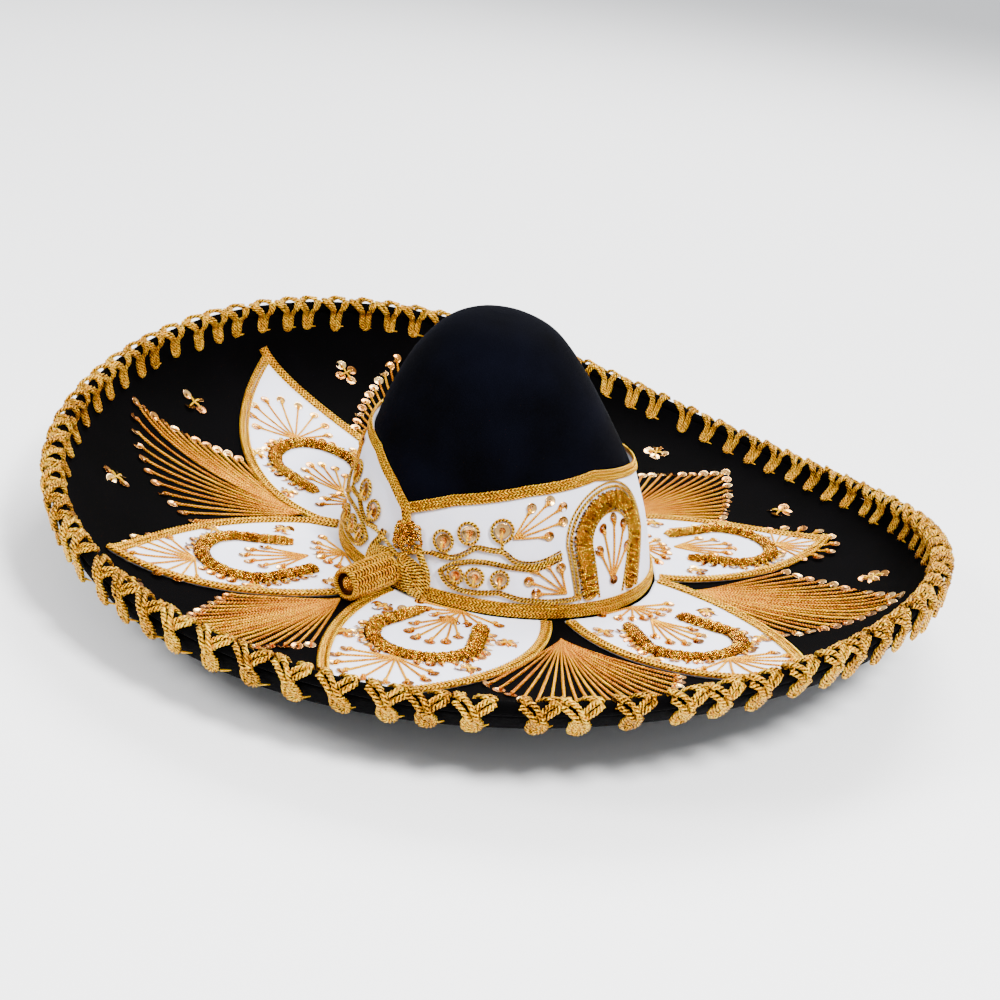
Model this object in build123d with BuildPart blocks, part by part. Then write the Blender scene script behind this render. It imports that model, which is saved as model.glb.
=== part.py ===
"""A charro sombrero: stiff felt crown and brim under black velvet, a white felt crown band and six
white felt petals, all trimmed with gold braid, bullion horseshoes, thread fans and sequins.

Millimetres, +Z up. The origin is the centre of the head opening, on the plane the hat stands on.
The wearer looks along -Y, so +X is the wearer's left. Angles are in degrees round the crown, from
the front toward the wearer's left. A place on the brim is an angle and a fraction of its width,
0 at the crown and 1 at the edge; its lift is the height above the velvet, along the normal.
"""

from build123d import *
from math import asin, atan2, cos, degrees, hypot, radians, sin
import os

# Brim. Each series is its mean and its share of cos a, cos 2a, cos 3a, sin a and sin 2a.
BRIM_WIDTH = (208.0, 7.0, -3.5, 3.0, -1.5, 10.0)        # along the felt, from crown to edge
BRIM_RISE = (0.295, 0.03, -0.237, -0.004, -0.089, 0.03)  # slope gained evenly over the width, rad
BRIM_CURL = (1.19, -0.044, 0.032, 0.26, -0.04, -0.234)   # slope gained close to the edge, rad
CURL_POWER = 6
BRIM_BASE = (106.0, 102.0)    # half axes of the ellipse where the brim begins
VELVET = 0.8
BOARD = 2.5
GAP = 0.1                     # air between two layers
BRIM_THICKNESS = 2 * VELVET + BOARD + 2 * GAP
BRIM_TOP = BRIM_THICKNESS     # the upper velvet's height above the ground at the crown
INNER_FLAT = -0.09            # the flat inner rim reaches this far inside the base ellipse

# Crown outline: height above the upper velvet, half width, half depth, centre X, centre Y
CROWN = (
    (0, 102, 98, -1, -1),
    (20, 100, 95, -1.5, -2.5),
    (45, 96, 89.5, -2, -5),
    (66, 90, 83.5, -2.5, -7),
    (80, 85, 78.5, -3, -8),
    (100, 76, 70, -4.5, -11.5),
    (130, 59, 54, -6, -15.5),
    (148, 45, 41, -6.5, -16.5),
    (158, 33.5, 30.5, -6.5, -17),
    (164, 20, 18, -7, -17.5),
    (166.5, 8, 7, -7, -18),
)
CROWN_HEIGHT = CROWN[-1][0]
CROWN_STEP = 14.0
CROWN_FELT = 1.7
LINING = 0.6
SWEATBAND = 1.2
SWEATBAND_HEIGHT = 34.0

# Edge
ROLL_RADIUS = 3.8             # padded binding
WIRE_RADIUS = 1.2
WIRE_SIDES = 8
CORD_LOOPS = 80
CORD_THICKNESS = 3.3
CORD_CLEARANCE = 0.4
CORD_PAIR_WIDTH = 7.0
LOOP_LENGTH = 24.0

# Crown band: height of its top edge above the velvet, by the angle; its V notch is at BAND_FRONT
BAND_FRONT = 3
BAND_TOP = (
    (-180, 74), (-130, 79), (-75, 87), (-52, 85), (-24, 79), (-8, 67),
    (BAND_FRONT, 56), (21, 69), (49, 81), (78, 88), (132, 79), (180, 74),
)
BAND_FELT = 2.0
BAND_BRAID = 1.8
TOP_BRAID_WIDTH = 7.0
BOTTOM_BRAID_WIDTH = 9.0
BAND_BOTTOM = 1.8             # the band stands on the petals' felt
BAND_SHOE_ANGLE = 82.5        # from the V notch to the middle of each horseshoe

# Petals in order round the brim: angle at the crown, angle at the tip, reach as a fraction of
# the brim, and how much further out than usual the petal's horseshoe lies
PETALS = {
    "front_left": (31, 23, 0.77, -8),
    "left": (95, 83, 0.77, 0),
    "back_left": (154, 150.5, 0.75, 5),
    "back_right": (207, 210, 0.76, 3),
    "right": (279.3, 264.7, 0.85, 0),
    "front_right": (331.7, 337, 0.767, 5),
}
PETAL_SPREAD = 29.0           # half angle of a petal at the crown
TIP_ANGLE = 0.3               # the blunt end of a petal, seen from the crown axis, degrees
EDGE_SLANT = 1.12             # how much wider a petal's braid is across the brim than across itself
PETAL_CLEARANCE = 0.4         # half the gap between neighbouring petals, degrees
PETAL_START = 0.02            # where the braid begins, clear of the crown band
FELT = 1.4
BRAID_WIDTH = 5.5
BRAID_THICKNESS = 1.8
SHOE_RADIUS = 31.0            # a petal's horseshoe, to the middle of its bullion
SHOE_LEG = 36.0
SHOE_MOUTH = 20.0
SHOE_WIDTH = 9.5
SHOE_THICKNESS = 4.0
SHOE_START = 24.0             # distance of its ends from the crown

# Thread fans, each after the petal of the same row: angle at the crown, angle at the tip,
# start and reach
FANS = {
    "front_left": (59.3, 57, 0.13, 0.80),
    "back_left": (120, 119.7, 0.14, 0.785),
    "back": (180.5, 180.7, 0.15, 0.795),
    "back_right": (243, 241, 0.15, 0.81),
    "front_right": (303.1, 295.4, 0.15, 0.84),
    "front": (360.6, 360.6, 0.19, 0.80),
}
FAN_THREADS = 21
FAN_MARGIN = 1.8              # between the outermost thread and the petal beside it, degrees
FAN_SHOULDER = 0.46           # fraction of the brim where the fan is widest
THREAD_WIDTH = 1.8
THREAD_THICKNESS = 1.5

SEQUIN_RADIUS = 3.2
SEQUIN_THICKNESS = 0.5
FLOWER_RADIUS = 6.2
FLOWER_ANGLES = (14, 44, 75, 101, 131.4, 164.8, 193.7, 224, 250.8, 283.9, 314.3, 345)
FLOWER_PLACE = 0.745

SLOPE_STEPS = 36
HIGH = 130.0                  # taller than the brim's highest edge


def around(series, angle):
    a = radians(angle)
    waves = (1, cos(a), cos(2 * a), cos(3 * a), sin(a), sin(2 * a))
    return sum(share * wave for share, wave in zip(series, waves))


def brim_width(angle):
    return around(BRIM_WIDTH, angle)


def brim_slope(angle, place):
    outer = max(place, 0.0)
    return around(BRIM_RISE, angle) * outer + around(BRIM_CURL, angle) * outer**CURL_POWER


def brim_profile(angle, place, lift=0.0):
    """Distance from the axis and height of a place on the brim, in its radial plane."""
    a = radians(angle)
    base = BRIM_BASE[0] * BRIM_BASE[1] / hypot(BRIM_BASE[1] * sin(a), BRIM_BASE[0] * cos(a))
    step = brim_width(angle) * place / SLOPE_STEPS
    slopes = [brim_slope(angle, place * (i + 0.5) / SLOPE_STEPS) for i in range(SLOPE_STEPS)]
    out = base + step * sum(cos(slope) for slope in slopes)
    up = BRIM_TOP + step * sum(sin(slope) for slope in slopes)
    end = brim_slope(angle, place)
    return out - lift * sin(end), up + lift * cos(end)


def brim_plan(angle, place):
    """The same place seen from above."""
    out = brim_profile(angle, place)[0]
    return out * sin(radians(angle)), -out * cos(radians(angle))


def brim_plane(angle, place, lift):
    """A plane that lies on the brim there, with its X axis pointing at the edge."""
    out, up = brim_profile(angle, place, lift)
    a, slope = radians(angle), brim_slope(angle, place)
    outward = (cos(slope) * sin(a), -cos(slope) * cos(a), sin(slope))
    normal = (-sin(slope) * sin(a), sin(slope) * cos(a), cos(slope))
    return Plane(origin=(out * sin(a), -out * cos(a), up), x_dir=outward, z_dir=normal)


def radial_plane(angle):
    a = radians(angle)
    return Plane(origin=(0, 0, 0), x_dir=(sin(a), -cos(a), 0), z_dir=(-cos(a), -sin(a), 0))


def steps(first, last, count):
    return [first + (last - first) * i / count for i in range(count + 1)]


def closed_section(angle, upper, lower):
    """A thin section between two curves, drawn in the radial plane."""
    with BuildSketch(radial_plane(angle)) as section:
        with BuildLine():
            Spline(*upper)
            Line(upper[-1], lower[-1])
            Spline(*lower)
            Line(lower[0], upper[0])
        make_face()
    return section.sketch


def layer_section(angle, low, high, first, last):
    places = steps(first, last, 9)
    upper = [brim_profile(angle, place, high) for place in places]
    lower = [brim_profile(angle, place, low) for place in places]
    return closed_section(angle, upper, lower)


def board_end(angle):
    """Where the board and its velvets stop, inside the padded edge."""
    return 1 - 1.5 * ROLL_RADIUS / brim_width(angle)


def halves(draw, first=0):
    """A ring lofted in two halves from a section drawn at each angle."""
    with BuildPart() as ring:
        for start in (first, first + 180):
            loft(sections=[draw(angle) for angle in steps(start, start + 180, 12)])
    return ring.part


def brim_ring(low, high):
    return halves(lambda angle: layer_section(angle, low, high, INNER_FLAT, board_end(angle)))


def patch(middle, half_angle, low, high, first, last):
    """A piece of a layer that covers one petal or one fan."""
    with BuildPart() as piece:
        angles = steps(middle - half_angle, middle + half_angle, 8)
        loft(sections=[layer_section(angle, low, high, first, last) for angle in angles])
    return piece.part


def crown_half_axes(height, lift=0.0):
    """Half width, half depth and centre of the crown at a height above the upper velvet."""
    last = len(CROWN) - 1
    index = max(i for i in range(last) if i == 0 or CROWN[i][0] <= height)
    below, above = CROWN[index], CROWN[index + 1]
    before, after = CROWN[max(index - 1, 0)], CROWN[min(index + 2, last)]
    span = above[0] - below[0]
    t = (height - below[0]) / span
    values = []
    for column in range(1, 5):
        leaving = (above[column] - before[column]) / (above[0] - before[0]) * span
        arriving = (after[column] - below[column]) / (after[0] - below[0]) * span
        start = (2 * t**3 - 3 * t**2 + 1) * below[column] + (t**3 - 2 * t**2 + t) * leaving
        end = (3 * t**2 - 2 * t**3) * above[column] + (t**3 - t**2) * arriving
        values.append(start + end)
    return values[0] + lift, values[1] + lift, values[2], values[3]


def crown_radius(angle, height, lift=0.0):
    """Distance from the Z axis to the crown's skin, grown by lift."""
    width, depth, x, y = crown_half_axes(height, lift)
    along, across = sin(radians(angle)), -cos(radians(angle))
    a = (along / width) ** 2 + (across / depth) ** 2
    b = along * x / width**2 + across * y / depth**2
    c = (x / width) ** 2 + (y / depth) ** 2 - 1
    return (b + (b * b - a * c) ** 0.5) / a


def crown_form(inset, bottom, top=CROWN_HEIGHT):
    """The crown's form with its skin moved inward by inset, cut off between two heights."""
    count = max(3, round((top - bottom) / CROWN_STEP))
    with BuildPart() as form:
        for share in steps(0, 1, count):
            height = bottom + (top - bottom) * (1 - (1 - share) ** 1.5)
            width, depth, x, y = crown_half_axes(height, -inset)
            level = BRIM_TOP + height - inset * max(height / CROWN_HEIGHT, 0) ** 8
            with BuildSketch(Plane(origin=(x, y, level))):
                Ellipse(width, depth)
        loft()
    return form.part


def crown_shell(outer, inner, bottom, top=CROWN_HEIGHT):
    """A layer of the crown, open below, and open above too if it stops short of the top."""
    solid = crown_form(outer, bottom, top)
    hollow = crown_form(inner, bottom - 1, top if top == CROWN_HEIGHT else top + 1)
    with BuildPart() as shell:
        add(solid)
        add(hollow, mode=Mode.SUBTRACT)
    return shell.part


def crown_section(angle, low, high, bottom, top):
    """A section of a layer that lies on the crown, between two heights."""
    heights = steps(bottom, top, 5)
    outer = [(crown_radius(angle, height, high), BRIM_TOP + height) for height in heights]
    inner = [(crown_radius(angle, height, low), BRIM_TOP + height) for height in heights]
    return closed_section(angle, outer, inner)


def crown_plane(angle, height, lift):
    """A plane that lies on the crown there, with its Y axis pointing up the crown."""
    a = radians(angle)
    here, above = crown_radius(angle, height, lift), crown_radius(angle, height + 1, lift)
    along = Vector(cos(a), sin(a), 0)
    upward = Vector((above - here) * sin(a), (here - above) * cos(a), 1)
    origin = (here * sin(a), -here * cos(a), BRIM_TOP + height)
    return Plane(origin=origin, x_dir=along, z_dir=along.cross(upward))


def band_height(angle):
    turn = (angle + 180) % 360 - 180
    for (a, low), (b, high) in zip(BAND_TOP, BAND_TOP[1:]):
        if a <= turn <= b:
            return low + (high - low) * (turn - a) / (b - a)


def horseshoe(width, radius, leg, mouth):
    """A horseshoe drawn with its ends on the X axis, mouth apart from the middle, and its arch above."""
    outer, inner = radius + width / 2, radius - width / 2
    with BuildSketch() as shape:
        with BuildLine():
            Polyline((-outer, leg), (-mouth - width / 2, 0), (-mouth + width / 2, 0), (-inner, leg))
            ThreePointArc((-inner, leg), (0, leg + inner), (inner, leg))
            Polyline((inner, leg), (mouth - width / 2, 0), (mouth + width / 2, 0), (outer, leg))
            ThreePointArc((outer, leg), (0, leg + outer), (-outer, leg))
        make_face()
    return shape.sketch


def petal_edge(name, fraction, side):
    """The angle of a petal's side at a fraction of its reach, kept clear of the next petal."""
    names = list(PETALS)
    base, tip = PETALS[name][:2]
    angle = base + (tip - base) * fraction + side * PETAL_SPREAD * (1 - fraction**1.3) ** 1.1
    neighbour = PETALS[names[(names.index(name) + side) % len(names)]][0]
    limit = base + side * (side * (neighbour - base) % 360 / 2 - PETAL_CLEARANCE)
    return side * min(side * angle, side * limit)


def inset_edge(name, fraction, side, inset):
    """The same side moved inward by inset, measured across the slanting edge."""
    out = brim_profile(PETALS[name][0], PETALS[name][2] * fraction)[0]
    return petal_edge(name, fraction, side) - side * degrees(EDGE_SLANT * inset / out)


def petal_side(name, side, inset=0.0):
    reach, end = PETALS[name][2], 1.0
    while inset_edge(name, end, 1, inset) - inset_edge(name, end, -1, inset) < TIP_ANGLE:
        end -= 0.002
    points = []
    for share in (0, 0.06, 0.12, 0.18, 0.25, 0.4, 0.55, 0.7, 0.85, 1):
        fraction = share * end
        points.append(brim_plan(inset_edge(name, fraction, side, inset), reach * fraction))
    return points


def leaf(name, inset=0.0):
    left, right = petal_side(name, 1, inset), petal_side(name, -1, inset)
    with BuildSketch() as outline:
        with BuildLine():
            Spline(*left)
            Line(left[-1], right[-1])
            Spline(*right)
            Line(left[0], right[0])
        make_face()
    return outline.sketch


def petal_axis(name):
    """A horizontal frame at the petal's foot with its Y axis along the petal."""
    base, tip, reach = PETALS[name][:3]
    foot, end = Vector(*brim_plan(base, 0)), Vector(*brim_plan(tip, reach))
    along = (end - foot).normalized()
    return Plane(origin=foot, x_dir=(along.Y, -along.X, 0), z_dir=(0, 0, 1)).location


def strip(start, end, width):
    middle = ((start[0] + end[0]) / 2, (start[1] + end[1]) / 2)
    length = hypot(end[0] - start[0], end[1] - start[1])
    turn = degrees(atan2(end[1] - start[1], end[0] - start[0]))
    with BuildSketch() as piece:
        with Locations(middle):
            Rectangle(length, width, rotation=turn)
    return piece.sketch


def cut_out(layer, outlines):
    """What is left of a layer inside outlines drawn from above."""
    with BuildPart() as piece:
        add(layer)
        with BuildSketch(Plane.XY.offset(-1)):
            add(outlines)
        extrude(amount=HIGH, mode=Mode.INTERSECT)
    return piece.part


def save(name, part):
    part.label = name
    export_step(part, f"parts/{name}.step")


os.makedirs("parts", exist_ok=True)

# ---------------------------------------------------------------- brim
opening = crown_half_axes(0, 0.3)
for name, low, high in (
    ("brim_under_velvet", -BRIM_THICKNESS - GAP, -BOARD - VELVET - 2 * GAP),
    ("brim_board", -BOARD - VELVET - GAP, -VELVET - GAP),
    ("brim_top_velvet", -VELVET, 0),
):
    ring = brim_ring(low, high)
    with BuildPart() as brim:
        add(ring)
        with BuildSketch(Plane(origin=(opening[2], opening[3], -1))):
            Ellipse(opening[0], opening[1])
        extrude(amount=20, mode=Mode.SUBTRACT)
        split(bisect_by=Plane.XY, keep=Keep.TOP)
    save(name, brim.part)

def roll_centre(angle):
    out, up = brim_profile(angle, board_end(angle), -BRIM_THICKNESS / 2)
    slope = brim_slope(angle, 1)
    return out + (ROLL_RADIUS + GAP) * cos(slope), up + (ROLL_RADIUS + GAP) * sin(slope)


def roll_section(angle, radius):
    with BuildSketch(radial_plane(angle)) as section:
        with Locations(roll_centre(angle)):
            Circle(radius)
    return section.sketch


def wire_section(angle):
    """The wire is drawn with flats."""
    with BuildSketch(radial_plane(angle)) as section:
        with Locations(roll_centre(angle)):
            RegularPolygon(WIRE_RADIUS, WIRE_SIDES)
    return section.sketch


wire = halves(wire_section)
save("brim_edge_wire", wire)
roll = halves(lambda angle: roll_section(angle, ROLL_RADIUS))
bore = halves(lambda angle: roll_section(angle, WIRE_RADIUS + GAP))
with BuildPart() as brim_edge_binding:
    add(roll)
    add(bore, mode=Mode.SUBTRACT)
save("brim_edge_binding", brim_edge_binding.part)


def cord_section(angle):
    """A loop of the doubled cord that hugs the edge, from one face of the brim to the other."""
    start = 1 - LOOP_LENGTH / brim_width(angle)
    places = steps(start, board_end(angle) - 0.005, 4)
    centre, slope = roll_centre(angle), degrees(brim_slope(angle, 1))
    curves = []
    for clearance in (CORD_CLEARANCE, CORD_CLEARANCE + CORD_THICKNESS):
        upper = [brim_profile(angle, place, clearance) for place in places]
        lower = [brim_profile(angle, place, -BRIM_THICKNESS - clearance) for place in places]
        radius = ROLL_RADIUS + clearance
        turns = [radians(slope + turn) for turn in (60, 20, -20, -60)]
        around_edge = [(centre[0] + radius * cos(t), centre[1] + radius * sin(t)) for t in turns]
        curves.append(upper + around_edge + lower[::-1])
    return closed_section(angle, *curves)


half_pair = degrees(CORD_PAIR_WIDTH / 2 / 290)
with BuildPart() as edge_cord:
    loops = []
    for angle in steps(0, 360, CORD_LOOPS)[:-1]:
        sections = [cord_section(angle - half_pair), cord_section(angle + half_pair)]
        loops.append(loft(sections=sections, mode=Mode.PRIVATE))
    add(loops)
save("edge_cord", edge_cord.part)

# ---------------------------------------------------------------- crown
body_skin = VELVET + GAP
lining_skin = body_skin + CROWN_FELT + 2 * GAP
save("crown_velvet", crown_shell(0, VELVET, GAP))
save("crown_body", crown_shell(body_skin, body_skin + CROWN_FELT, 1 - BRIM_TOP))
save("crown_lining", crown_shell(lining_skin, lining_skin + LINING, SWEATBAND_HEIGHT - BRIM_TOP))
save("sweatband", crown_shell(lining_skin, lining_skin + SWEATBAND, 1 - BRIM_TOP,
                              SWEATBAND_HEIGHT - BRIM_TOP - GAP))

# ---------------------------------------------------------------- crown band
BAND_LIFT = 3 * GAP + BAND_FELT


def band_ring(low, high, bottom, top):
    """A ring on the crown whose bottom and top are heights found from the angle."""
    return halves(
        lambda angle: crown_section(angle, low, high, bottom(angle), top(angle)), BAND_FRONT)


def level(height):
    return lambda angle: height


save("band_felt", band_ring(3 * GAP, BAND_LIFT, level(BAND_BOTTOM), band_height))
save("band_top_braid", band_ring(
    BAND_LIFT + GAP, BAND_LIFT + GAP + BAND_BRAID,
    lambda angle: band_height(angle) - TOP_BRAID_WIDTH, band_height))
save("band_bottom_braid", band_ring(
    BAND_LIFT + GAP, BAND_LIFT + GAP + BAND_BRAID + 1,
    level(BAND_BOTTOM), level(BAND_BOTTOM + BOTTOM_BRAID_WIDTH)))


def on_crown(angle, height, low, high, outlines):
    """Outlines drawn on an upright plane at the crown, cut out of a layer that wraps the band."""
    face = crown_plane(angle, height, 0)
    outward = (sin(radians(angle)), -cos(radians(angle)), 0)
    upright = Plane(origin=face.origin, x_dir=face.x_dir, z_dir=outward)
    with BuildPart() as piece:
        angles = steps(angle - 40, angle + 40, 8)
        loft(sections=[crown_section(a, low, high, 0, BAND_SHEET_TOP) for a in angles])
        with BuildSketch(upright.offset(-30)):
            add(outlines)
        extrude(amount=60, mode=Mode.INTERSECT)
    return piece.part


def group(pieces):
    with BuildPart() as whole:
        add(pieces)
    return whole.part


def ring_outline(places, outer, inner):
    with BuildSketch() as rings:
        with Locations(*places):
            Circle(outer)
        with Locations(*places):
            Circle(inner, mode=Mode.SUBTRACT)
    return rings.sketch


def eye_outline(length, height, width):
    """A leaf of cord, pointed at both ends."""
    with BuildSketch() as eye:
        for end, rise, mode in (
            (length / 2, height / 2, Mode.ADD),
            (length / 2 - 2 * width, height / 2 - width, Mode.SUBTRACT),
        ):
            with BuildLine():
                ThreePointArc((-end, 0), (0, rise), (end, 0))
                ThreePointArc((end, 0), (0, -rise), (-end, 0))
            make_face(mode=mode)
    return eye.sketch


def ray_ends(start, length, half_angle, count, lean=0.0):
    """Ends of threads that fan out from a point, about the Y axis or a direction leaning from it."""
    turns = [radians(turn) for turn in steps(lean - half_angle, lean + half_angle, count - 1)]
    return [(start[0] + length * sin(turn), start[1] + length * cos(turn)) for turn in turns]


def rays(start, ends, width):
    with BuildSketch() as fan:
        for end in ends:
            add(strip(start, end, width))
    return fan.sketch


def cord_path(points, width):
    """A cord laid along straight runs from point to point."""
    with BuildSketch() as path:
        for start, end in zip(points, points[1:]):
            add(strip(start, end, width))
        with Locations(*points):
            Circle(width / 2)
    return path.sketch


def sequins(planes, radius=SEQUIN_RADIUS):
    with BuildPart() as discs:
        with Locations(*planes):
            Cylinder(radius, SEQUIN_THICKNESS, align=(Align.CENTER, Align.CENTER, Align.MIN))
    return discs.part


# Band motifs, drawn for the wearer's left and mirrored for the right. X is along the band and Y
# up, from a point MOTIF_ANGLE from the notch and MOTIF_HEIGHT above the velvet.
MOTIF_ANGLE = 33.0
MOTIF_HEIGHT = 36.0
BAND_SHEET_TOP = 86.0
CORD_WIDTH = 2.2
CORD_HEIGHT = 2.0
RAY_WIDTH = 1.0
RAY_THICKNESS = 0.8
SMALL_SEQUIN = 2.8
RING_PLACES = ((-26.4, 4.8), (-11.9, 12.7), (7.4, 17.6))
RING = (6.8, 4.6)             # outer and inner radius
EYE_RING_PLACES = ((-16.4, -14.2), (-4.8, -12.9), (10, -11.7))
EYE_RING = (5.6, 3.6)
EYE_TOP = ((-26.7, -13.7), (-17.5, -6.2), (0, -1.6), (16, -2.6), (28, -3.5), (34, 0.5), (43, 4.5))
EYE_BOTTOM = ((-26.7, -13.7), (-19.6, -21.5), (-4.1, -23), (10.6, -20.5), (22.3, -23.2), (54, -23.6))
SCROLL = ((-33, -5), (-20.3, -4.8), (-10.4, 1.3), (-5.6, 5.9), (8.9, 5), (15.7, 0.3), (28, -3.5))
MOTIF_FANS = (((14.5, 13.8), 20, 32, 5, 56), ((49, -19.2), 16, 34, 5, -54))
SHOE_FAN = ((0, 0), 24, 30, 5, 0)
SHOE_HEIGHT = 40.0            # the horseshoe's drawing plane crosses the crown here
SHOE_FOOT = -27.5             # its ends, below that
above_band = BAND_LIFT + GAP
band_parts = {"band_scrolls": [], "band_rings": [], "band_rays": []}
band_sequins = []
for side, mirrored in (("left", 1), ("right", -1)):
    shoe_angle = BAND_FRONT + mirrored * BAND_SHOE_ANGLE
    motif_angle = BAND_FRONT + mirrored * MOTIF_ANGLE
    cord_top = above_band + CORD_HEIGHT
    shoe = Pos(0, SHOE_FOOT) * horseshoe(12.0, 23.5, 34.0, 16.5)
    cord = Pos(0, SHOE_FOOT) * horseshoe(CORD_WIDTH, 30.9, 34.0, 24.2)
    save("band_horseshoe_" + side, on_crown(shoe_angle, SHOE_HEIGHT, above_band, above_band + 4, shoe))
    with BuildSketch() as scroll:
        for path in (SCROLL, EYE_TOP, EYE_BOTTOM):
            add(cord_path([(mirrored * x, y) for x, y in path], CORD_WIDTH))
    band_parts["band_scrolls"] += [
        on_crown(shoe_angle, SHOE_HEIGHT, above_band, cord_top, cord),
        on_crown(motif_angle, MOTIF_HEIGHT, above_band, cord_top, scroll.sketch),
    ]
    spots = []
    for places, (outer, inner) in ((RING_PLACES, RING), (EYE_RING_PLACES, EYE_RING)):
        places = [(mirrored * x, y) for x, y in places]
        spots += [(motif_angle, MOTIF_HEIGHT, place) for place in places]
        rings = ring_outline(places, outer, inner)
        band_parts["band_rings"].append(
            on_crown(motif_angle, MOTIF_HEIGHT, above_band, cord_top, rings))
    fans = [(motif_angle, MOTIF_HEIGHT, fan) for fan in MOTIF_FANS]
    fans.append((shoe_angle, MOTIF_HEIGHT - 14, SHOE_FAN))
    for angle, height, (start, length, half_angle, count, lean) in fans:
        start = (mirrored * start[0], start[1])
        ends = ray_ends(start, length, half_angle, count, mirrored * lean)
        band_parts["band_rays"].append(on_crown(
            angle, height, above_band, above_band + RAY_THICKNESS, rays(start, ends, RAY_WIDTH)))
        beyond = ray_ends(start, length + SEQUIN_RADIUS, half_angle, count, mirrored * lean)
        spots += [(angle, height, place) for place in beyond]
    for angle, height, (x, y) in spots:
        turn = degrees(asin(x / crown_radius(angle, height + y)))
        band_sequins.append(crown_plane(angle + turn, height + y, above_band + 0.3))
for name, pieces in band_parts.items():
    save(name, group(pieces))
save("band_sequins", sequins(band_sequins, SMALL_SEQUIN))

# ---------------------------------------------------------------- petals
PETAL_TOP = GAP + FELT
# start, length, half angle and number of threads of the small fans on each petal; the middle
# one lies inside the horseshoe and the last one outside its arch
PETAL_FANS = ((4.0, 15.0, 62.0, 8), (33.0, 26.0, 40.0, 6), (102.0, 26.0, 58.0, 9))
SHOE_SEQUINS = 9              # on each leg, outside the bullion
MOTIF_SWAY = {"right": -10.0}    # how far a petal's motifs sit to one side of its middle


def brim_lookup(x, y):
    """The angle and place of a point on the brim, found from above."""
    angle = degrees(atan2(x, -y)) % 360
    near, far = 0.0, 1.0
    for _ in range(30):
        middle = (near + far) / 2
        if brim_profile(angle, middle)[0] < hypot(x, y):
            near = middle
        else:
            far = middle
    return angle, middle


def on_brim(frame, x, y, lift):
    """The plane of the brim under a point given in a horizontal frame."""
    spot = (frame * Pos(x, y)).position
    return brim_plane(*brim_lookup(spot.X, spot.Y), lift)


on_felt = PETAL_TOP + GAP
petal_rays, petal_sequins = [], []
for name, (base, tip, reach, shift) in PETALS.items():
    def sheet(low, high, first):
        return patch((base + tip) / 2, PETAL_SPREAD + 12, low, high, first, reach + 0.02)

    outline = leaf(name)
    with BuildSketch() as border:
        add(outline)
        add(leaf(name, BRAID_WIDTH), mode=Mode.SUBTRACT)
    save("petal_" + name, cut_out(sheet(GAP, PETAL_TOP, 0), outline))
    braid = sheet(on_felt, on_felt + BRAID_THICKNESS, PETAL_START)
    save("petal_braid_" + name, cut_out(braid, border.sketch))
    axis = petal_axis(name) * Pos(MOTIF_SWAY.get(name, 0.0), 0)
    foot = SHOE_START + shift
    shoe = axis * Pos(0, foot) * horseshoe(SHOE_WIDTH, SHOE_RADIUS, SHOE_LEG, SHOE_MOUTH)
    bullion = sheet(on_felt, on_felt + SHOE_THICKNESS, PETAL_START)
    save("petal_horseshoe_" + name, cut_out(bullion, shoe))
    threads = sheet(on_felt, on_felt + RAY_THICKNESS, PETAL_START)
    for index, (start, length, half_angle, count) in enumerate(PETAL_FANS):
        middle = (0, start + (shift if index else 0))
        ends = ray_ends(middle, length, half_angle, count)
        petal_rays.append(cut_out(threads, axis * rays(middle, ends, RAY_WIDTH)))
        for x, y in ray_ends(middle, length + SEQUIN_RADIUS, half_angle, count):
            petal_sequins.append(on_brim(axis, x, y, on_felt))
    beside = SHOE_RADIUS + SHOE_WIDTH / 2 + SEQUIN_RADIUS + 0.6
    for side in (1, -1):
        for turn in steps(0, 66, SHOE_SEQUINS // 2):
            x, y = beside * cos(radians(turn)), foot + SHOE_LEG + beside * sin(radians(turn))
            petal_sequins.append(on_brim(axis, side * x, y, on_felt))
        for share in steps(0.2, 1, SHOE_SEQUINS // 2):
            x = beside - share * (SHOE_RADIUS - SHOE_MOUTH)
            petal_sequins.append(on_brim(axis, side * x, foot + SHOE_LEG * (1 - share), on_felt))
save("petal_rays", group(petal_rays))
save("petal_sequins", sequins(petal_sequins, SMALL_SEQUIN))

# ---------------------------------------------------------------- thread fans
fan_sequins = []
for (petal, (_, _, reach, _)), (name, (foot, tip, start, end)) in zip(PETALS.items(), FANS.items()):
    names = list(PETALS)
    following = names[(names.index(petal) + 1) % len(names)]
    shoulder = {
        -1: petal_edge(petal, FAN_SHOULDER / reach, 1) + FAN_MARGIN,
        1: petal_edge(following, FAN_SHOULDER / PETALS[following][2], -1) - FAN_MARGIN,
    }
    if following == names[0]:
        shoulder[1] += 360
    with BuildSketch() as fan:
        for across in steps(-1, 1, FAN_THREADS - 1):
            angle = tip + (shoulder[1 if across > 0 else -1] - tip) * abs(across)
            place = end - (end - FAN_SHOULDER) * abs(across)
            add(strip(brim_plan(foot, start), brim_plan(angle, place), THREAD_WIDTH))
            fan_sequins.append(brim_plane(angle, place + 0.02, GAP))
        for beside in (petal, following):
            add(leaf(beside), mode=Mode.SUBTRACT)
    layer = patch((foot + tip) / 2, 27, GAP, GAP + THREAD_THICKNESS, start - 0.02, end + 0.02)
    save("thread_fan_" + name, cut_out(layer, fan.sketch))
save("fan_sequins", sequins(fan_sequins))

flowers = []
for angle in FLOWER_ANGLES:
    middle = brim_plane(angle, FLOWER_PLACE, 0).location
    for turn in (0, 90, 180, 270):
        x, y = FLOWER_RADIUS * cos(radians(turn)), FLOWER_RADIUS * sin(radians(turn))
        flowers.append(on_brim(middle, x, y, GAP))
save("flower_sequins", sequins(flowers))

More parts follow.
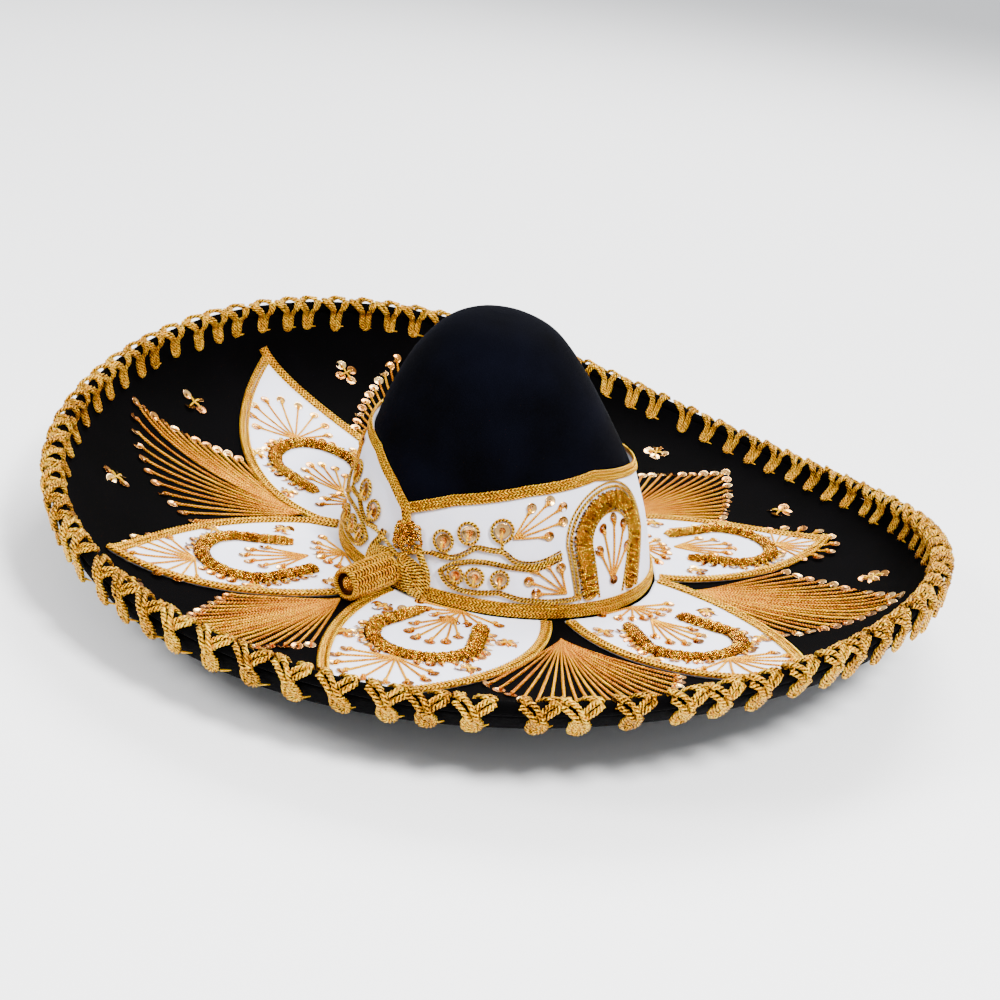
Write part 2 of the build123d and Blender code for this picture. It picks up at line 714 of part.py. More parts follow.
# ---------------------------------------------------------------- knot at the front of the band
BARREL_ANGLE = 1.5
BARREL_LENGTH = 37.0
BARREL_RADIUS = 10.5
BARREL_WALL = 3.0
BARREL_HEIGHTS = (14.5, 12.1)   # its axis above the upper velvet, at the band and at the open end
BEAD_RADIUS = 5.5
COIL_RADIUS = 2.3
COIL_CORD = 1.3
ROSETTE_RADIUS = 7.4
ROSETTE = (5.7, 37.0)           # angle and height of its middle
LEAF_ANGLE = 9.0                # the folded cord leaf beside the barrel, and its height
LEAF_HEIGHT = 13.0

a = radians(BARREL_ANGLE)
barrel_start = crown_radius(BARREL_ANGLE, 0, BAND_LIFT + BAND_BRAID + 2)
fall = (BARREL_HEIGHTS[1] - BARREL_HEIGHTS[0]) / BARREL_LENGTH
barrel_axis = Plane(
    origin=(barrel_start * sin(a), -barrel_start * cos(a), BRIM_TOP + BARREL_HEIGHTS[0]),
    z_dir=(sin(a), -cos(a), fall))
with BuildPart() as knot_barrel:
    with BuildSketch(barrel_axis):
        Circle(BARREL_RADIUS)
        Circle(BARREL_RADIUS - BARREL_WALL, mode=Mode.SUBTRACT)
    extrude(amount=BARREL_LENGTH)
    fillet(knot_barrel.edges().filter_by(GeomType.CIRCLE), BARREL_WALL / 2 - 0.1)
save("knot_barrel", knot_barrel.part)
with BuildPart() as knot_bead:
    with Locations(barrel_axis.offset(BARREL_LENGTH - BEAD_RADIUS)):
        Sphere(BEAD_RADIUS)
save("knot_bead", knot_bead.part)

with BuildPart() as knot_rosette:
    with Locations(crown_plane(*ROSETTE, BAND_LIFT + GAP + COIL_CORD + 1)):
        Torus(COIL_RADIUS, COIL_CORD)
        with PolarLocations(ROSETTE_RADIUS, 6):
            Torus(COIL_RADIUS, COIL_CORD)
save("knot_rosette", knot_rosette.part)

folded = []
for mirrored in (1, -1):
    angle = BAND_FRONT + mirrored * (LEAF_ANGLE + 3)
    low = above_band + BAND_BRAID + 1 + GAP
    for length, height in ((28, 15), (19, 7)):
        turned = Rot(0, 0, -20 * mirrored) * eye_outline(length, height, CORD_WIDTH)
        folded.append(on_crown(angle, LEAF_HEIGHT, low, low + CORD_HEIGHT, turned))
save("knot_loops", group(folded))
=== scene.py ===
"""Looks for the charro sombrero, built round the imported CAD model. Lengths are in millimetres until
a mesh is made. Angles are in degrees round the crown, from the front toward the wearer's left."""

import bpy
import numpy as np
from mathutils import Matrix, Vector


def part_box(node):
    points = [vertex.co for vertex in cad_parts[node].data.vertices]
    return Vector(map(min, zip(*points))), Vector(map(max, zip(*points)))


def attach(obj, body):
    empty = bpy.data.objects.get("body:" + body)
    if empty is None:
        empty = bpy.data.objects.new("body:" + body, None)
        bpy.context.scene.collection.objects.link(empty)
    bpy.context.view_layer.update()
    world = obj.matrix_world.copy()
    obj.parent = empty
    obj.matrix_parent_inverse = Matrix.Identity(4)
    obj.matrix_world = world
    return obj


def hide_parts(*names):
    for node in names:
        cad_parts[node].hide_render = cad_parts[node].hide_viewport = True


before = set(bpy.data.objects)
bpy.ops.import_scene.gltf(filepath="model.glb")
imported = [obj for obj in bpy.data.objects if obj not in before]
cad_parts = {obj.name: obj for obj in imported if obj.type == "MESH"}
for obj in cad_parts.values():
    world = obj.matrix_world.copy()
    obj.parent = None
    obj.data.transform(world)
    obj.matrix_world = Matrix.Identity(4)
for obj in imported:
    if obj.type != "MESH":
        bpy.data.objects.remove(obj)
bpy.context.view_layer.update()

MM = 0.001
UP = np.array([0.0, 0.0, 1.0])

# ---- form, as in the CAD
# Each series round the brim is a constant and shares of cos a, cos 2a, cos 3a, sin a and sin 2a.
BRIM_WIDTH = (208.0, 7.0, -3.5, 3.0, -1.5, 10.0)
BRIM_RISE = (0.295, 0.03, -0.237, -0.004, -0.089, 0.03)
BRIM_CURL = (1.19, -0.044, 0.032, 0.26, -0.04, -0.234)
CURL_POWER = 6
BRIM_BASE = (106.0, 102.0)
BRIM_THICKNESS = 4.3
BRIM_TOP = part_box("brim_under_velvet")[0][2] / MM + BRIM_THICKNESS
VELVET = 0.8
GAP = 0.1
ROLL_RADIUS = 3.8
# Height, half width, half depth and the middle's x and y.
CROWN = np.array((
    (0, 102, 98, -1, -1),
    (20, 100, 95, -1.5, -2.5),
    (45, 96, 89.5, -2, -5),
    (66, 90, 83.5, -2.5, -7),
    (80, 85, 78.5, -3, -8),
    (100, 76, 70, -4.5, -11.5),
    (130, 59, 54, -6, -15.5),
    (148, 45, 41, -6.5, -16.5),
    (158, 33.5, 30.5, -6.5, -17),
    (164, 20, 18, -7, -17.5),
    (166.5, 8, 7, -7, -18),
), float)
CROWN_HEIGHT = CROWN[-1, 0]
BAND_FRONT = 3
# Angle and height.
BAND_TOP = np.array((
    (-180, 74), (-130, 79), (-75, 87), (-52, 85), (-24, 79), (-8, 67),
    (BAND_FRONT, 56), (21, 69), (49, 81), (78, 88), (132, 79), (180, 74),
), float)
BAND_LIFT = 2.3
BAND_BOTTOM = 1.8
# Angles of the base and the tip, reach as a share of the brim, and shift of the motif outward.
PETALS = {
    "front_left": (31, 23, 0.77, -8),
    "left": (95, 83, 0.77, 0),
    "back_left": (154, 150.5, 0.75, 5),
    "back_right": (207, 210, 0.76, 3),
    "right": (279.3, 264.7, 0.85, 0),
    "front_right": (331.7, 337, 0.767, 5),
}
PETAL_SPREAD = 29.0
PETAL_CLEARANCE = 0.4
FELT = 1.4
FELT_TOP = GAP + FELT
# Angle of the foot, angle of the tip, and where the threads start and end as shares of the brim.
FANS = {
    "front_left": (59.3, 57, 0.13, 0.80),
    "back_left": (120, 119.7, 0.14, 0.785),
    "back": (180.5, 180.7, 0.15, 0.795),
    "back_right": (243, 241, 0.15, 0.81),
    "front_right": (303.1, 295.4, 0.15, 0.84),
    "front": (360.6, 360.6, 0.19, 0.80),
}
FAN_THREADS = 21
FAN_MARGIN = 1.8
FAN_SHOULDER = 0.46
FLOWER_ANGLES = (14, 44, 75, 101, 131.4, 164.8, 193.7, 224, 250.8, 283.9, 314.3, 345)
FLOWER_PLACE = 0.745

SEARCH_STEPS = 8
GAUSS, WEIGHT = np.polynomial.legendre.leggauss(12)
GAUSS, WEIGHT = (GAUSS + 1) / 2, WEIGHT / 2


def unit(v):
    return v / np.linalg.norm(v, axis=-1, keepdims=True)


def level_out(a):
    """The level direction outward, for an angle in radians."""
    return np.stack([np.sin(a), -np.cos(a), np.zeros_like(a)], -1)


def around(series, a):
    waves = (1, np.cos(a), np.cos(2 * a), np.cos(3 * a), np.sin(a), np.sin(2 * a))
    return sum(share * wave for share, wave in zip(series, waves))


def brim_base(a):
    wide, deep = BRIM_BASE
    return wide * deep / np.hypot(deep * np.sin(a), wide * np.cos(a))


def brim_slope(a, place):
    outer = np.clip(place, 0, None)
    return around(BRIM_RISE, a) * outer + around(BRIM_CURL, a) * outer**CURL_POWER


def brim_profile(a, place):
    """Distance from the axis and rise at a share of the brim's width, by integrating its slope."""
    steps = place[..., None] * GAUSS
    slopes = brim_slope(a[..., None], steps)
    reach = around(BRIM_WIDTH, a) * place
    return brim_base(a) + reach * (np.cos(slopes) @ WEIGHT), reach * (np.sin(slopes) @ WEIGHT)


def brim(angle, place, lift=0.0):
    """Points over the upper velvet and the normals there."""
    a, place, lift = np.broadcast_arrays(np.radians(angle), place, lift)
    out, rise = brim_profile(a, place)
    slope = brim_slope(a, place)
    radial = level_out(a)
    normal = -np.sin(slope)[..., None] * radial + np.cos(slope)[..., None] * UP
    points = radial * out[..., None] + UP * (BRIM_TOP + rise)[..., None] + normal * lift[..., None]
    return points, normal


def brim_over(x, y, lift=0.0):
    """The same for places given from above."""
    x, y = np.broadcast_arrays(np.asarray(x, float), np.asarray(y, float))
    a, reach = np.arctan2(x, -y), np.hypot(x, y)
    place = (reach - brim_base(a)) / around(BRIM_WIDTH, a)
    for _ in range(SEARCH_STEPS):
        out = brim_profile(a, place)[0]
        place = place + (reach - out) / (around(BRIM_WIDTH, a) * np.cos(brim_slope(a, place)))
        place = np.clip(place, -0.1, 1)
    return brim(np.degrees(a), place, lift)


def crown_axes(height):
    """The columns of CROWN at any height, through its rows as a smooth curve."""
    rows = CROWN[:, 0]
    index = np.clip(np.searchsorted(rows, height, side="right") - 1, 0, len(rows) - 2)
    below, above = CROWN[index], CROWN[index + 1]
    before, after = CROWN[np.maximum(index - 1, 0)], CROWN[np.minimum(index + 2, len(rows) - 1)]
    span = (above - below)[..., :1]
    t = (np.asarray(height)[..., None] - below[..., :1]) / span
    leaving = (above - before) / (above - before)[..., :1] * span
    arriving = (after - below) / (after - below)[..., :1] * span
    values = (
        (2 * t**3 - 3 * t**2 + 1) * below + (t**3 - 2 * t**2 + t) * leaving
        + (3 * t**2 - 2 * t**3) * above + (t**3 - t**2) * arriving)
    return np.moveaxis(values[..., 1:], -1, 0)


def crown_skin(a, height):
    """Distance of the crown's skin from the hat's axis."""
    wide, deep, x, y = crown_axes(height)
    along, across = np.sin(a), -np.cos(a)
    p = (along / wide) ** 2 + (across / deep) ** 2
    q = along * x / wide**2 + across * y / deep**2
    r = (x / wide) ** 2 + (y / deep) ** 2 - 1
    return (q + np.sqrt(q * q - p * r)) / p


def crown(angle, height, lift=0.0):
    """Points over the crown's skin and the normals there."""
    a, height, lift = np.broadcast_arrays(np.radians(angle), np.asarray(height, float), lift)
    def at(a, height):
        out = crown_skin(a, height)
        return np.stack([out * np.sin(a), -out * np.cos(a), BRIM_TOP + height], -1)
    here = at(a, height)
    normal = unit(np.cross(at(a + 0.001, height) - here, at(a, height + 0.1) - here))
    return here + normal * lift[..., None], normal


def band_height(angle):
    turn = (np.asarray(angle, float) + 180) % 360 - 180
    return np.interp(turn, BAND_TOP[:, 0], BAND_TOP[:, 1])


def petal_edge(name, fraction, side):
    """Angle of a leaf's edge at a fraction of its length; it stops short of the next leaf."""
    names = list(PETALS)
    base, tip = PETALS[name][:2]
    angle = base + (tip - base) * fraction + side * PETAL_SPREAD * (1 - fraction**1.3) ** 1.1
    neighbour = PETALS[names[(names.index(name) + side) % len(names)]][0]
    limit = base + side * (side * (neighbour - base) % 360 / 2 - PETAL_CLEARANCE)
    return side * np.minimum(side * angle, side * limit)


def plan(angle, place):
    """The same place seen from above."""
    return brim(angle, place)[0][..., :2]


def add_object(name, data):
    made = bpy.data.objects.new(name, data)
    bpy.context.scene.collection.objects.link(made)
    return made


class Stock:
    """Grids collected into one mesh, with a tone and a painted shade value at each point; the shade
    darkens the hollows between plies.
    """

    def __init__(self):
        self.points, self.quads, self.caps, self.tones, self.groove_shades = [], [], [], [], []
        self.count = 0

    def grid(self, points, closed=False, tone=0.5, groove_shade=0.0):
        """Rows of points along the length. Each row is a ring; closed joins the last row to the
        first, and otherwise both ends are capped."""
        rows, columns = points.shape[:2]
        index = np.arange(rows * columns).reshape(rows, columns) + self.count
        down = np.roll(index, -1, 0) if closed else index[1:]
        top = index if closed else index[:-1]
        quads = np.stack([top, np.roll(top, -1, 1), np.roll(down, -1, 1), down], -1)
        self.quads.append(quads.reshape(-1, 4))
        if not closed:
            self.caps += [index[0][::-1], index[-1]]
        self.points.append(points.reshape(-1, 3))
        self.tones.append(np.broadcast_to(tone, (rows, columns)).ravel())
        self.groove_shades.append(np.broadcast_to(groove_shade, (rows, columns)).ravel())
        self.count += rows * columns

    def shell(self, upper, lower, closed=False):
        """A thin closed sheet between two grids of the same size."""
        self.grid(np.concatenate([upper, lower[:, ::-1]], 1)[::-1], closed)

    def build(self, name, mat):
        """The mesh as a piece on the root, in place of the CAD node of its name if there is one."""
        mesh = bpy.data.meshes.new(name)
        points = np.concatenate(self.points) * MM
        quads = np.concatenate(self.quads)
        loops = np.concatenate([quads.ravel()] + list(self.caps)).astype(np.int32)
        sizes = np.concatenate([np.full(len(quads), 4), [len(cap) for cap in self.caps]]).astype(int)
        starts = np.concatenate([[0], np.cumsum(sizes)[:-1]]).astype(np.int32)
        mesh.vertices.add(len(points))
        mesh.vertices.foreach_set("co", points.ravel().astype(np.float32))
        mesh.loops.add(len(loops))
        mesh.loops.foreach_set("vertex_index", loops)
        mesh.polygons.add(len(sizes))
        mesh.polygons.foreach_set("loop_start", starts)
        mesh.polygons.foreach_set("use_smooth", np.ones(len(sizes), bool))
        mesh.update(calc_edges=True)
        for label, values in (("tone", self.tones), ("groove_shade", self.groove_shades)):
            layer = mesh.attributes.new(label, "FLOAT", "POINT")
            layer.data.foreach_set("value", np.concatenate(values).astype(np.float32))
        mesh.validate()
        mesh.materials.append(mat)
        obj = add_object(name, mesh)
        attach(obj, "root")
        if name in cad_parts:
            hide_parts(name)
        return obj


def resample(points, step, closed=False):
    """The same line with points a given step apart, or a little less."""
    points = np.asarray(points, float)
    if closed:
        points = np.concatenate([points, points[:1]])
    length = run(points)
    count = max(3, int(np.ceil(length[-1] / step)) + 1)
    where = np.linspace(0, length[-1], count)[: -1 if closed else None]
    return np.stack([np.interp(where, length, points[:, i]) for i in range(points.shape[1])], -1)


def smooth(points, rounds=2, closed=False):
    """Rounds off a line's corners without moving its ends."""
    points = np.asarray(points, float)
    for _ in range(rounds):
        if closed:
            points = (np.roll(points, 1, 0) + 2 * points + np.roll(points, -1, 0)) / 4
        else:
            inner = (points[:-2] + 2 * points[1:-1] + points[2:]) / 4
            points = np.concatenate([points[:1], inner, points[-1:]])
    return points


def left_of(line):
    """Unit vectors to the left of a line on a plane."""
    along = unit(np.gradient(line, axis=0))
    return np.stack([-along[:, 1], along[:, 0]], -1)


def directions(path, up, closed=False):
    """Unit vectors along a path, to its side and away from the surface under it."""
    if closed:
        along = np.roll(path, -1, 0) - np.roll(path, 1, 0)
    else:
        along = np.gradient(path, axis=0)
    along = unit(along)
    up = np.broadcast_to(up, path.shape)
    up = unit(up - (up * along).sum(-1, keepdims=True) * along)
    return along, np.cross(along, up), up


def run(path):
    """Distance along a path at each of its points."""
    steps = np.linalg.norm(np.diff(path, axis=0), axis=1)
    return np.concatenate([[0], np.cumsum(steps)])


def tube(stock, path, up, radius, sides=8, plies=0, pitch=5.0, phase=0.0, depth=0.35,
         flat=1.0, closed=False, tone=0.5):
    """A round thread, or with plies a twisted one, that follows a path."""
    _, side, up = directions(path, up, closed)
    theta = 2 * np.pi * np.arange(sides) / sides
    lobes = np.abs(np.cos(plies * theta / 2)) if plies else np.ones(sides)
    turn = np.zeros(len(path))
    if plies:
        length = run(path)
        turns = length / pitch
        if closed:
            whole = length[-1] + np.linalg.norm(path[0] - path[-1])
            turns = length / whole * max(1, round(whole / abs(pitch) * 2) / 2) * np.sign(pitch)
        turn = 2 * np.pi * turns + phase
    ring = theta + turn[:, None]
    reach = np.broadcast_to(radius, len(path))[:, None] * (1 - depth * (1 - lobes))
    offset = (reach * np.cos(ring))[..., None] * side[:, None]
    offset = offset + (flat * reach * np.sin(ring))[..., None] * up[:, None]
    # The last value, one minus the lobes, is painted shade: darkest where the plies meet.
    stock.grid(path[:, None] + offset, closed, tone, 1 - lobes)


def cord(stock, path, up, radius, pitch, depth, **rest):
    """A thread twisted of two plies."""
    tube(stock, path, up, radius, sides=8, plies=2, pitch=pitch, depth=depth, **rest)


BASE = 0.25                    # thickness of the base under a braid, dark as painted shade between its columns


def braid(stock, path, up, width, columns=4, pitch=4.6, height=0.9, closed=False, tone=0.5):
    """A chain braid: twisted columns side by side, each turning against the next, on a base darkened
    as painted shade between the columns.
    """
    _, side, up = directions(path, up, closed)
    radius = width / columns * 0.54
    # The base's low tone is painted shade, seen in the gaps between the columns.
    tube(stock, path + up * BASE, up, width * 0.47, flat=BASE / width * 2, closed=closed, tone=0.0)
    for column in range(columns):
        shift = (column - (columns - 1) / 2) * width / columns
        crown_of_braid = 1 - (2 * shift / width) ** 2
        lift = radius * height * (0.8 + 0.45 * crown_of_braid)
        line = path + side * shift + up * lift
        cord(stock, line, up, radius, pitch * (-1) ** column, 0.62, phase=column * 1.3,
             flat=height, closed=closed, tone=tone)


# ---- materials
def material(name, base, rough, metallic=0.0, **sockets):
    mat = bpy.data.materials.new(name)
    mat.use_nodes = True
    shader = mat.node_tree.nodes["Principled BSDF"]
    shader.inputs["Base Color"].default_value = (*base, 1)
    shader.inputs["Roughness"].default_value = rough
    shader.inputs["Metallic"].default_value = metallic
    for key, value in sockets.items():
        shader.inputs[key.replace("_", " ")].default_value = value
    return mat


def node(mat, kind, **values):
    """A new node, with its inputs set by name."""
    made = mat.node_tree.nodes.new(kind)
    for key, value in values.items():
        if key in made.inputs:
            made.inputs[key].default_value = value
        else:
            setattr(made, key, value)
    return made


def link(mat, start, end):
    mat.node_tree.links.new(start, end)


def noise(mat, scale, detail=4.0, stretch=(1, 1, 1)):
    """A noise texture in the object's own coordinates; scale is in features per metre."""
    coordinates = node(mat, "ShaderNodeTexCoord")
    mapping = node(mat, "ShaderNodeMapping", Scale=stretch)
    texture = node(mat, "ShaderNodeTexNoise", Scale=scale, Detail=detail)
    link(mat, coordinates.outputs["Object"], mapping.inputs["Vector"])
    link(mat, mapping.outputs["Vector"], texture.inputs["Vector"])
    return texture.outputs["Fac"]


def ramp(mat, value, *stops):
    """A colour ramp from (position, colour) stops."""
    made = node(mat, "ShaderNodeValToRGB")
    elements = made.color_ramp.elements
    while len(elements) < len(stops):
        elements.new(0.5)
    for element, (position, colour) in zip(elements, stops):
        element.position = position
        element.color = (*colour, 1)
    link(mat, value, made.inputs["Fac"])
    return made.outputs["Color"]


def attribute(mat, name):
    return node(mat, "ShaderNodeAttribute", attribute_name=name).outputs["Fac"]


def mix(mat, factor, first, second):
    """A blend of two colours; the factor is another node's output."""
    made = node(mat, "ShaderNodeMix", data_type="RGBA")
    link(mat, factor, made.inputs[0])
    for value, socket in ((first, made.inputs[6]), (second, made.inputs[7])):
        if hasattr(value, "is_output"):
            link(mat, value, socket)
        else:
            socket.default_value = (*value, 1)
    return made.outputs[2]


def maths(mat, operation, first, second):
    made = node(mat, "ShaderNodeMath", operation=operation)
    for value, socket in zip((first, second), made.inputs):
        if hasattr(value, "is_output"):
            link(mat, value, socket)
        else:
            socket.default_value = value
    return made.outputs[0]


def weighted(mat, *terms):
    """A sum of node outputs, each times its weight."""
    total = None
    for value, weight in terms:
        part = maths(mat, "MULTIPLY", value, weight)
        total = part if total is None else maths(mat, "ADD", total, part)
    return total


def finish(mat, colour, height, distance, strength):
    """Joins the colour and the bump to the shader."""
    shader = mat.node_tree.nodes["Principled BSDF"]
    if colour is not None:
        link(mat, colour, shader.inputs["Base Color"])
    bump = node(mat, "ShaderNodeBump", Strength=strength, Distance=distance)
    link(mat, height, bump.inputs["Height"])
    link(mat, bump.outputs["Normal"], shader.inputs["Normal"])
    return mat


BLACK = (0, 0, 0)


def velvet(name, dark, pale, sheen, tint):
    mat = material(name, dark, 0.9, Sheen_Weight=sheen, Sheen_Roughness=0.35, Sheen_Tint=(*tint, 1),
                   Specular_IOR_Level=0.02)
    patches = noise(mat, 22, 5)
    nap = noise(mat, 1500, 3)
    colour = mix(mat, ramp(mat, patches, (0.35, BLACK), (0.7, (1, 1, 1))), dark, pale)
    colour = mix(mat, ramp(mat, nap, (0.4, BLACK), (0.75, (0.5, 0.5, 0.5))), colour, pale)
    return finish(mat, colour, weighted(mat, (nap, 1), (patches, 2)), 0.0006, 0.5)


def metal_thread(name, dark, middle, bright, rough=0.3, metallic=1.0):
    """Metallic thread: painted shade where the plies meet, varied from strand to strand, with painted
    glints along it.
    """
    mat = material(name, middle, rough, metallic)
    # The glints noise paints highlights and dark spots into the colour; it also bumps the surface.
    glints, fibre, patches = noise(mat, 900, 2), noise(mat, 2600, 2), noise(mat, 160, 2)
    # Painted shade: the colour darkens where the plies meet.
    shade = weighted(mat, (glints, 0.8), (patches, 0.2), (attribute(mat, "tone"), 0.2),
                     (attribute(mat, "groove_shade"), -0.55))
    colour = ramp(mat, shade, (0.3, dark), (0.47, middle), (0.62, bright))
    return finish(mat, colour, weighted(mat, (glints, 2.2), (fibre, 1)), 0.0006, 1.0)


def felt(name, pale, shadow):
    mat = material(name, pale, 0.95, Sheen_Weight=0.15, Sheen_Roughness=0.5, Specular_IOR_Level=0.2)
    fibres, clouds = noise(mat, 1700, 5), noise(mat, 60, 3)
    colour = mix(mat, ramp(mat, clouds, (0.3, BLACK), (0.75, (0.6, 0.6, 0.6))), pale, shadow)
    return finish(mat, colour, fibres, 0.0005, 0.45)


def sequin_film(name, dark, middle, bright):
    mat = material(name, middle, 0.2, 1.0, Coat_Weight=0.15, Coat_Roughness=0.1)
    shade = weighted(mat, (attribute(mat, "tone"), 0.7), (noise(mat, 400, 2), 0.35))
    colour = ramp(mat, shade, (0.2, dark), (0.5, middle), (0.85, bright))
    return finish(mat, colour, noise(mat, 500, 2), 0.0003, 0.25)


crown_cloth = velvet("crown_velvet", (0.0002, 0.0002, 0.0004), (0.0010, 0.0012, 0.0032),
                     0.004, (0.35, 0.45, 0.95))
brim_cloth = velvet("brim_velvet", (0.0002, 0.0002, 0.0002), (0.0006, 0.0005, 0.0007),
                    0.003, (0.7, 0.6, 0.8))
white_felt = felt("white_felt", (0.85, 0.86, 0.97), (0.74, 0.77, 0.94))
braid_gold = metal_thread("gold_braid", (0.05, 0.010, 0.0), (0.90, 0.33, 0.0), (1.0, 0.68, 0.03))
cord_gold = metal_thread("gold_cord", (0.03, 0.008, 0.0), (0.78, 0.30, 0.0), (1.0, 0.72, 0.06))
bullion_gold = metal_thread("gold_bullion", (0.04, 0.008, 0.0), (0.80, 0.25, 0.0),
                            (1.0, 0.66, 0.04), 0.24)
fan_gold = metal_thread("orange_thread", (0.24, 0.04, 0.0), (1.0, 0.32, 0.0),
                        (1.0, 0.56, 0.0), 0.34, 0.9)
ray_gold = metal_thread("yellow_thread", (0.4, 0.10, 0.0), (1.0, 0.40, 0.0),
                        (1.0, 0.60, 0.0), 0.36, 0.9)
sequin_gold = sequin_film("copper_sequin", (0.12, 0.03, 0.003), (0.66, 0.28, 0.05), (1.0, 0.68, 0.26))
leather = material("sweatband_leather", (0.03, 0.022, 0.018), 0.5)
grain = ramp(leather, noise(leather, 500, 5), (0.3, (0.02, 0.014, 0.011)),
             (0.7, (0.05, 0.036, 0.028)))
finish(leather, grain, noise(leather, 900, 6), 0.0004, 0.4)
satin = material("lining_cloth", (0.02, 0.02, 0.024), 0.35, Sheen_Weight=0.2)
weave = ramp(satin, noise(satin, 200, 4), (0.3, (0.014, 0.014, 0.018)), (0.7, (0.03, 0.03, 0.038)))
finish(satin, weave, noise(satin, 1400, 3, (1, 1, 0.15)), 0.0003, 0.3)
board = felt("stiff_felt", (0.03, 0.03, 0.032), (0.02, 0.02, 0.022))
wire = material("edge_wire", (0.45, 0.45, 0.47), 0.35, 1.0)
finish(wire, None, noise(wire, 900, 3, (1, 1, 8)), 0.0002, 0.3)

rng = np.random.default_rng(7)

for label, mat in (("brim_board", board), ("crown_body", board), ("brim_edge_wire", wire)):
    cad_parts[label].data.materials.clear()
    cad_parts[label].data.materials.append(mat)

# ---- velvet, lining and sweatband
BOARD_END_GAP = 1.5 * ROLL_RADIUS
AROUND = np.arange(0, 360, 1.0)
FINE_AROUND = np.arange(0, 360, 1.5)
LINING_BOTTOM = 34 - BRIM_TOP


def board_end(angle):
    return 1 - BOARD_END_GAP / around(BRIM_WIDTH, np.radians(angle))


def rumple(points, size, amount, seed=0.0):
    """A slow, smooth unevenness, so that cloth isn't a perfect surface."""
    x, y, z = (points[..., i] / size for i in range(3))
    slow = np.sin(x + 1.7 * np.sin(y + seed)) * np.cos(1.3 * y + np.sin(z + seed))
    return amount * (slow + 0.5 * np.sin(2.3 * x - z))


def lay_brim(name, high, low, floor_height=None):
    """The brim's velvet from the crown to the edge; the lower one is flattened by the floor."""
    a = np.radians(AROUND)
    inner = (crown_skin(a, 0.0) + 0.4 - brim_base(a)) / around(BRIM_WIDTH, a)
    share = np.linspace(0, 1, 90)
    place = inner[:, None] + (board_end(AROUND) - inner)[:, None] * share
    upper, normal = brim(AROUND[:, None], place, high)
    lower, _ = brim(AROUND[:, None], place, low)
    if floor_height is not None:
        upper[..., 2] = np.maximum(upper[..., 2], floor_height + VELVET)
        lower[..., 2] = np.maximum(lower[..., 2], floor_height)
    else:
        upper = upper - normal * np.abs(rumple(upper, 14, 0.1))[..., None]
    stock = Stock()
    stock.shell(upper, lower, closed=True)
    stock.build(name, brim_cloth)


lay_brim("brim_top_velvet", 0.0, -VELVET)
lay_brim("brim_under_velvet", -3.5, -BRIM_THICKNESS - GAP, 0.0)


def dome(lift, bottom):
    """Rings of points up the crown, nearly closed at its top."""
    share = np.linspace(0, 1, 100)
    height = bottom + (CROWN_HEIGHT - bottom) * (1 - (1 - share) ** 1.6)
    wide, deep, x, y = crown_axes(height)
    a = np.radians(FINE_AROUND)
    wide, deep = np.maximum(wide + lift, 0.5), np.maximum(deep + lift, 0.5)
    px = x[:, None] + wide[:, None] * np.sin(a)
    py = y[:, None] - deep[:, None] * np.cos(a)
    drop = lift * np.clip(height / CROWN_HEIGHT, 0, 1) ** 8
    points = np.stack([px, py, np.broadcast_to((BRIM_TOP + height + drop)[:, None], px.shape)], -1)
    centre = points[-1].mean(0)
    rings = [centre + (points[-1] - centre) * scale + UP * 0.35 * (1 - scale**2)
             for scale in (0.8, 0.55, 0.3, 0.05)]
    return np.concatenate([points, np.stack(rings)])


def dress_crown(name, outer, inner, bottom, mat, dent=0.0):
    skin, back_of_skin = dome(outer, bottom), dome(inner, bottom)
    for points in (skin, back_of_skin):
        points += crown_dents(points) * dent
    stock = Stock()
    stock.grid(np.concatenate([skin, back_of_skin[::-1]])[::-1], closed=True)
    return stock.build(name, mat)


def crown_dents(points):
    """The soft pinch near the top of the crown and the slow unevenness of its nap."""
    high = np.clip((points[..., 2] - 110) / 40, 0, 1)
    toward = np.exp(-((points[..., 0] - 18) / 14) ** 2 - ((points[..., 1] + 46) / 18) ** 2)
    centre = np.array([-5.0, -13.0, 90.0])
    inward = unit(centre - points)
    slow = rumple(points, 30, 0.2, 2.0) * np.clip((points[..., 2] - 60) / 40, 0, 1)
    return inward * (high * toward * 0.4 + slow)[..., None]


velvet_skin = dress_crown("crown_velvet", 0, -VELVET, GAP, crown_cloth, 1.0)
lining = dress_crown("crown_lining", -2.8, -3.4, LINING_BOTTOM, satin)

stock = Stock()
heights = np.linspace(1 - BRIM_TOP, LINING_BOTTOM - GAP, 16)
bulge = 0.25 * np.sin(np.linspace(0, np.pi, 16))
outer, _ = crown(FINE_AROUND[:, None], heights, -2.9)
inner, _ = crown(FINE_AROUND[:, None], heights, -3.9 - bulge)
stock.shell(inner, outer, closed=True)
sweatband = stock.build("sweatband", leather)

stock = Stock()
for angle in np.arange(0, 360, 2.4):
    turn = angle + np.linspace(0, 1.5, 7)
    path, normal = crown(turn, LINING_BOTTOM - 3.0, -4.1 - 0.35 * np.sin(np.linspace(0, np.pi, 7)))
    tube(stock, path, -normal, 0.3, sides=6)
stock.build("sweatband_stitches", ray_gold)

# ---- edge
def roll_centre(angle):
    """The middle of the padded roll, the way outward there, the brim's slope and its radial."""
    points, _ = brim(angle, board_end(angle), -BRIM_THICKNESS / 2)
    a = np.radians(angle)
    slope = brim_slope(a, np.ones_like(a))
    radial = level_out(a)
    outward = np.cos(slope)[..., None] * radial + np.sin(slope)[..., None] * UP
    return points + outward * (ROLL_RADIUS + GAP), outward, slope, radial


stock = Stock()
turns = np.arange(0, 360, 0.5)
centres, outward, _, _ = roll_centre(turns)
a = np.radians(turns)
uneven = ROLL_RADIUS * (1 + 0.02 * np.sin(a * 37) + 0.015 * np.sin(a * 71))
tube(stock, centres, outward, uneven, sides=16, closed=True)
stock.build("brim_edge_binding", brim_cloth)


